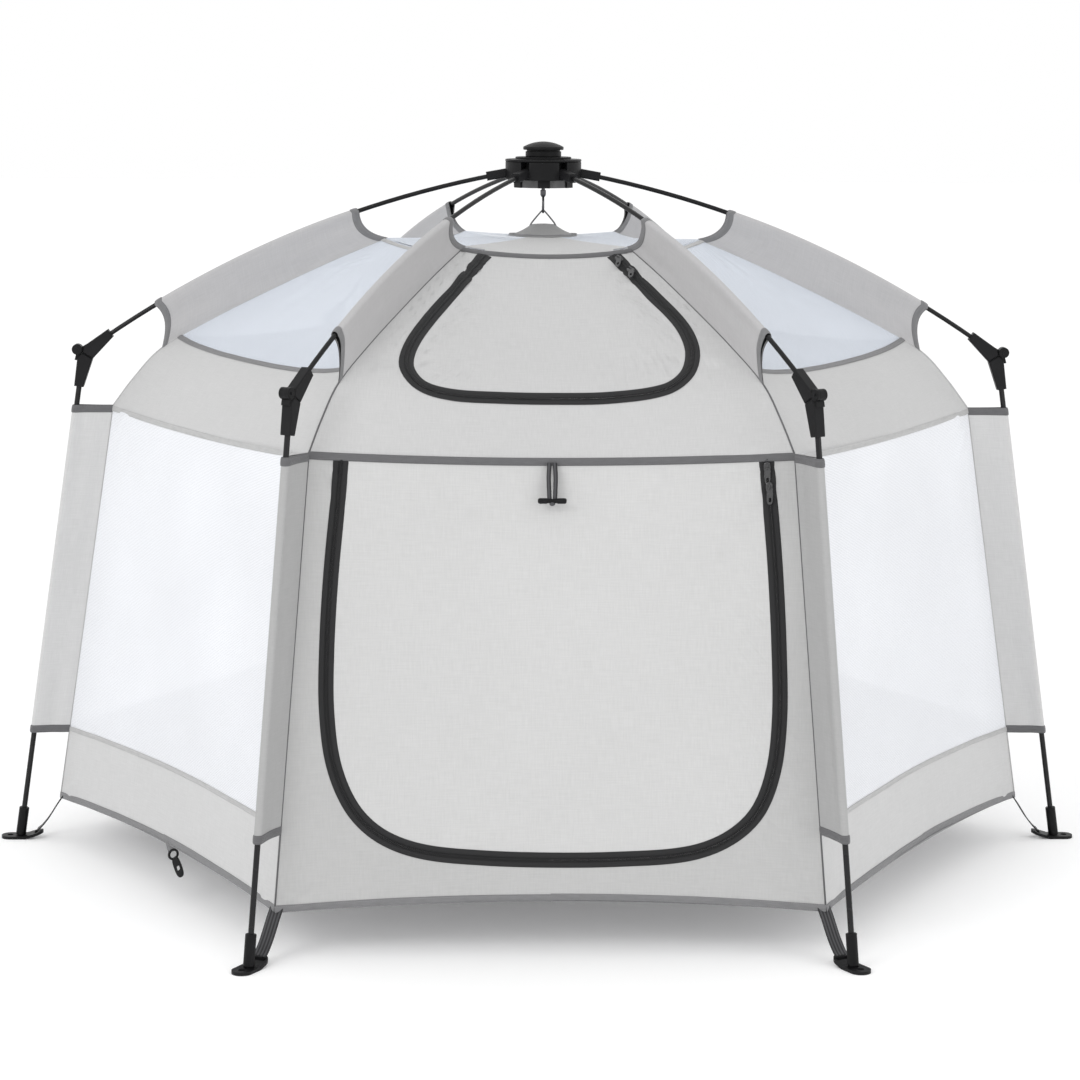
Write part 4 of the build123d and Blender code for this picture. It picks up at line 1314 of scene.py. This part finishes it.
def cap_point(angle, share):
    """Place on the cap patch: flat-topped under the loop, then hollow down to its six corners."""
    sector = (angle + pi / 6) % (pi / 3) - pi / 6
    pull = abs(sector) / (pi / 6)
    radius = share * CAP_SPREAD * lerp(1.0, 0.93, pull)
    fall = min(1.0, max(0.0, (radius - CAP_FLAT) / (CAP_SPREAD - CAP_FLAT)))
    lift = (1 - fall) ** 1.7 * (1 - 0.06 * min(1.0, radius / CAP_FLAT) ** 2)
    height = CAP_EDGE_Z + (CAP_PEAK_Z - CAP_EDGE_Z) * lift - 0.0015 * pull * share**2
    return Vector((cos(angle) * radius, sin(angle) * radius, height))


def build_cap():
    turns = spread(0, 2 * pi, 60)
    rows = spread(0.03, 1, 16)
    points = [cap_point(t, s) for s in rows for t in turns[:-1]]
    count = len(turns) - 1
    faces = []
    for i in range(len(rows) - 1):
        for k in range(count):
            a, b = i * count + k, i * count + (k + 1) % count
            faces.append((a, a + count, b + count, b))
    faces.append(tuple(range(count)))
    cap = make_mesh("cap_patch", points, faces, [CAP_CLOTH], [(p.x, p.y) for p in points])
    solid = cap.modifiers.new("thick", "SOLIDIFY")
    solid.thickness = 0.0016
    solid.offset = 1
    carry(cap, "hub", "cap_cloth")
    rim = [cap_point(t, 1.0) + UP * 0.0012 for t in turns]
    band = ribbon("cap_edge", rim, [UP for _ in rim], 0.0005, 0.0070, 0.0022, BINDING)
    carry(band, "hub", "binding_grey")
    route = [Vector((x, 0, z)) for x, z in CAP_LOOP]
    loop = tube("cap_loop", spline(route, 0.002), 0.0013, BINDING_DARK)
    carry(loop, "hub", "cap_cloth")
    return cap


# ------------------------------------------------------------------ carried-over hardware
def dress_hardware():
    finishes = (
        ("hub_pins", STEEL), ("hub_trim_ring", TRIM), ("hub_", PLASTIC),
        ("arm_pole", POLE), ("leg_pole", POLE), ("arm_ends", PLASTIC), ("knee_lower", PLASTIC),
        ("foot_", PLASTIC),
    )
    for node, thing in frame["nodes"].items():
        for start, material in finishes:
            if node.startswith(start):
                thing.data.materials.clear()
                thing.data.materials.append(material)
                break


# ------------------------------------------------------------------ stage and light
def add_stage():
    m = Nodes("studio_floor")
    cloud = m.noise(m.place(), 0.7, 2)
    m.set(
        Base_Color=m.ramp(cloud, [(0.3, (0.90, 0.90, 0.90)), (0.7, (0.93, 0.93, 0.93))]),
        Roughness=m.span(cloud, 0.8, 0.9),
    )
    m.set(Emission_Color=(1, 1, 1, 1), Emission_Strength=0.12)
    size = 30.0
    square = [(-size, -size, 0), (size, -size, 0), (size, size, 0), (-size, size, 0)]
    floor = make_mesh("studio_floor", square, [(0, 1, 2, 3)], [m.material])
    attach(floor, "leg_fl")
    world = bpy.data.worlds.new("studio")
    scene.world = world
    world.use_nodes = True
    sky = world.node_tree.nodes["Background"]
    sky.inputs["Color"].default_value = (1, 1, 1, 1)
    sky.inputs["Strength"].default_value = 1.0
    scene.view_settings.view_transform = "Standard"

    def area(name, place, target, wide, power):
        data = bpy.data.lights.new(name, "AREA")
        data.shape = "DISK"
        data.size = wide
        data.energy = power
        lamp = bpy.data.objects.new(name, data)
        lamp.location = place
        lamp.rotation_euler = (Vector(target) - Vector(place)).to_track_quat("-Z", "Y").to_euler()
        scene.collection.objects.link(lamp)

    area("key", (-3.2, -4.2, 3.4), (0, 0, 0.6), 2.4, 60)
    area("fill", (3.6, -3.6, 2.2), (0, 0, 0.6), 2.8, 25)


build_side_walls()
door_cloth = build_front_wall()
build_side_roofs()
window_cloth = build_front_roof()
build_bindings()
build_corners()
build_straps()
build_floor()
cap_patch = build_cap()
build_shoulders()
build_sliders(
    "door_pulls", "door_sliders", partial(wall_point, FRONT), DOOR_PATH, hint_of(FRONT), on_wall,
    (0.012, 0.042),
)
build_sliders(
    "window_pulls", "window_sliders", partial(roof_point, FRONT), WINDOW_PATH, hint_of(FRONT), on_roof,
    (0.010, 0.032),
)
build_toggle()
build_hook()
build_hem_clip()
dress_hardware()
add_stage()


def hide_soft_solids():
    """Each soft CAD solid is stood for by one of the cloth pieces made in its place."""
    for corner, angle in CORNERS.items():
        sides = ((angle + 30) % 360, (angle - 30) % 360)
        for side, hand in zip(sides, HANDS):
            label = SIDES[side] + "_" + hand_name(hand)
            wall = "front_wall_" + hand_name(hand) if side == FRONT else "skirt_" + label
            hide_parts("wall_panel_" + corner)
            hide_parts("roof_panel_" + corner)
        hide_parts("floor_panel_" + corner)
    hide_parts("door_flap")
    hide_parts("window_flap")
    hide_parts("apex_cap")


hide_soft_solids()
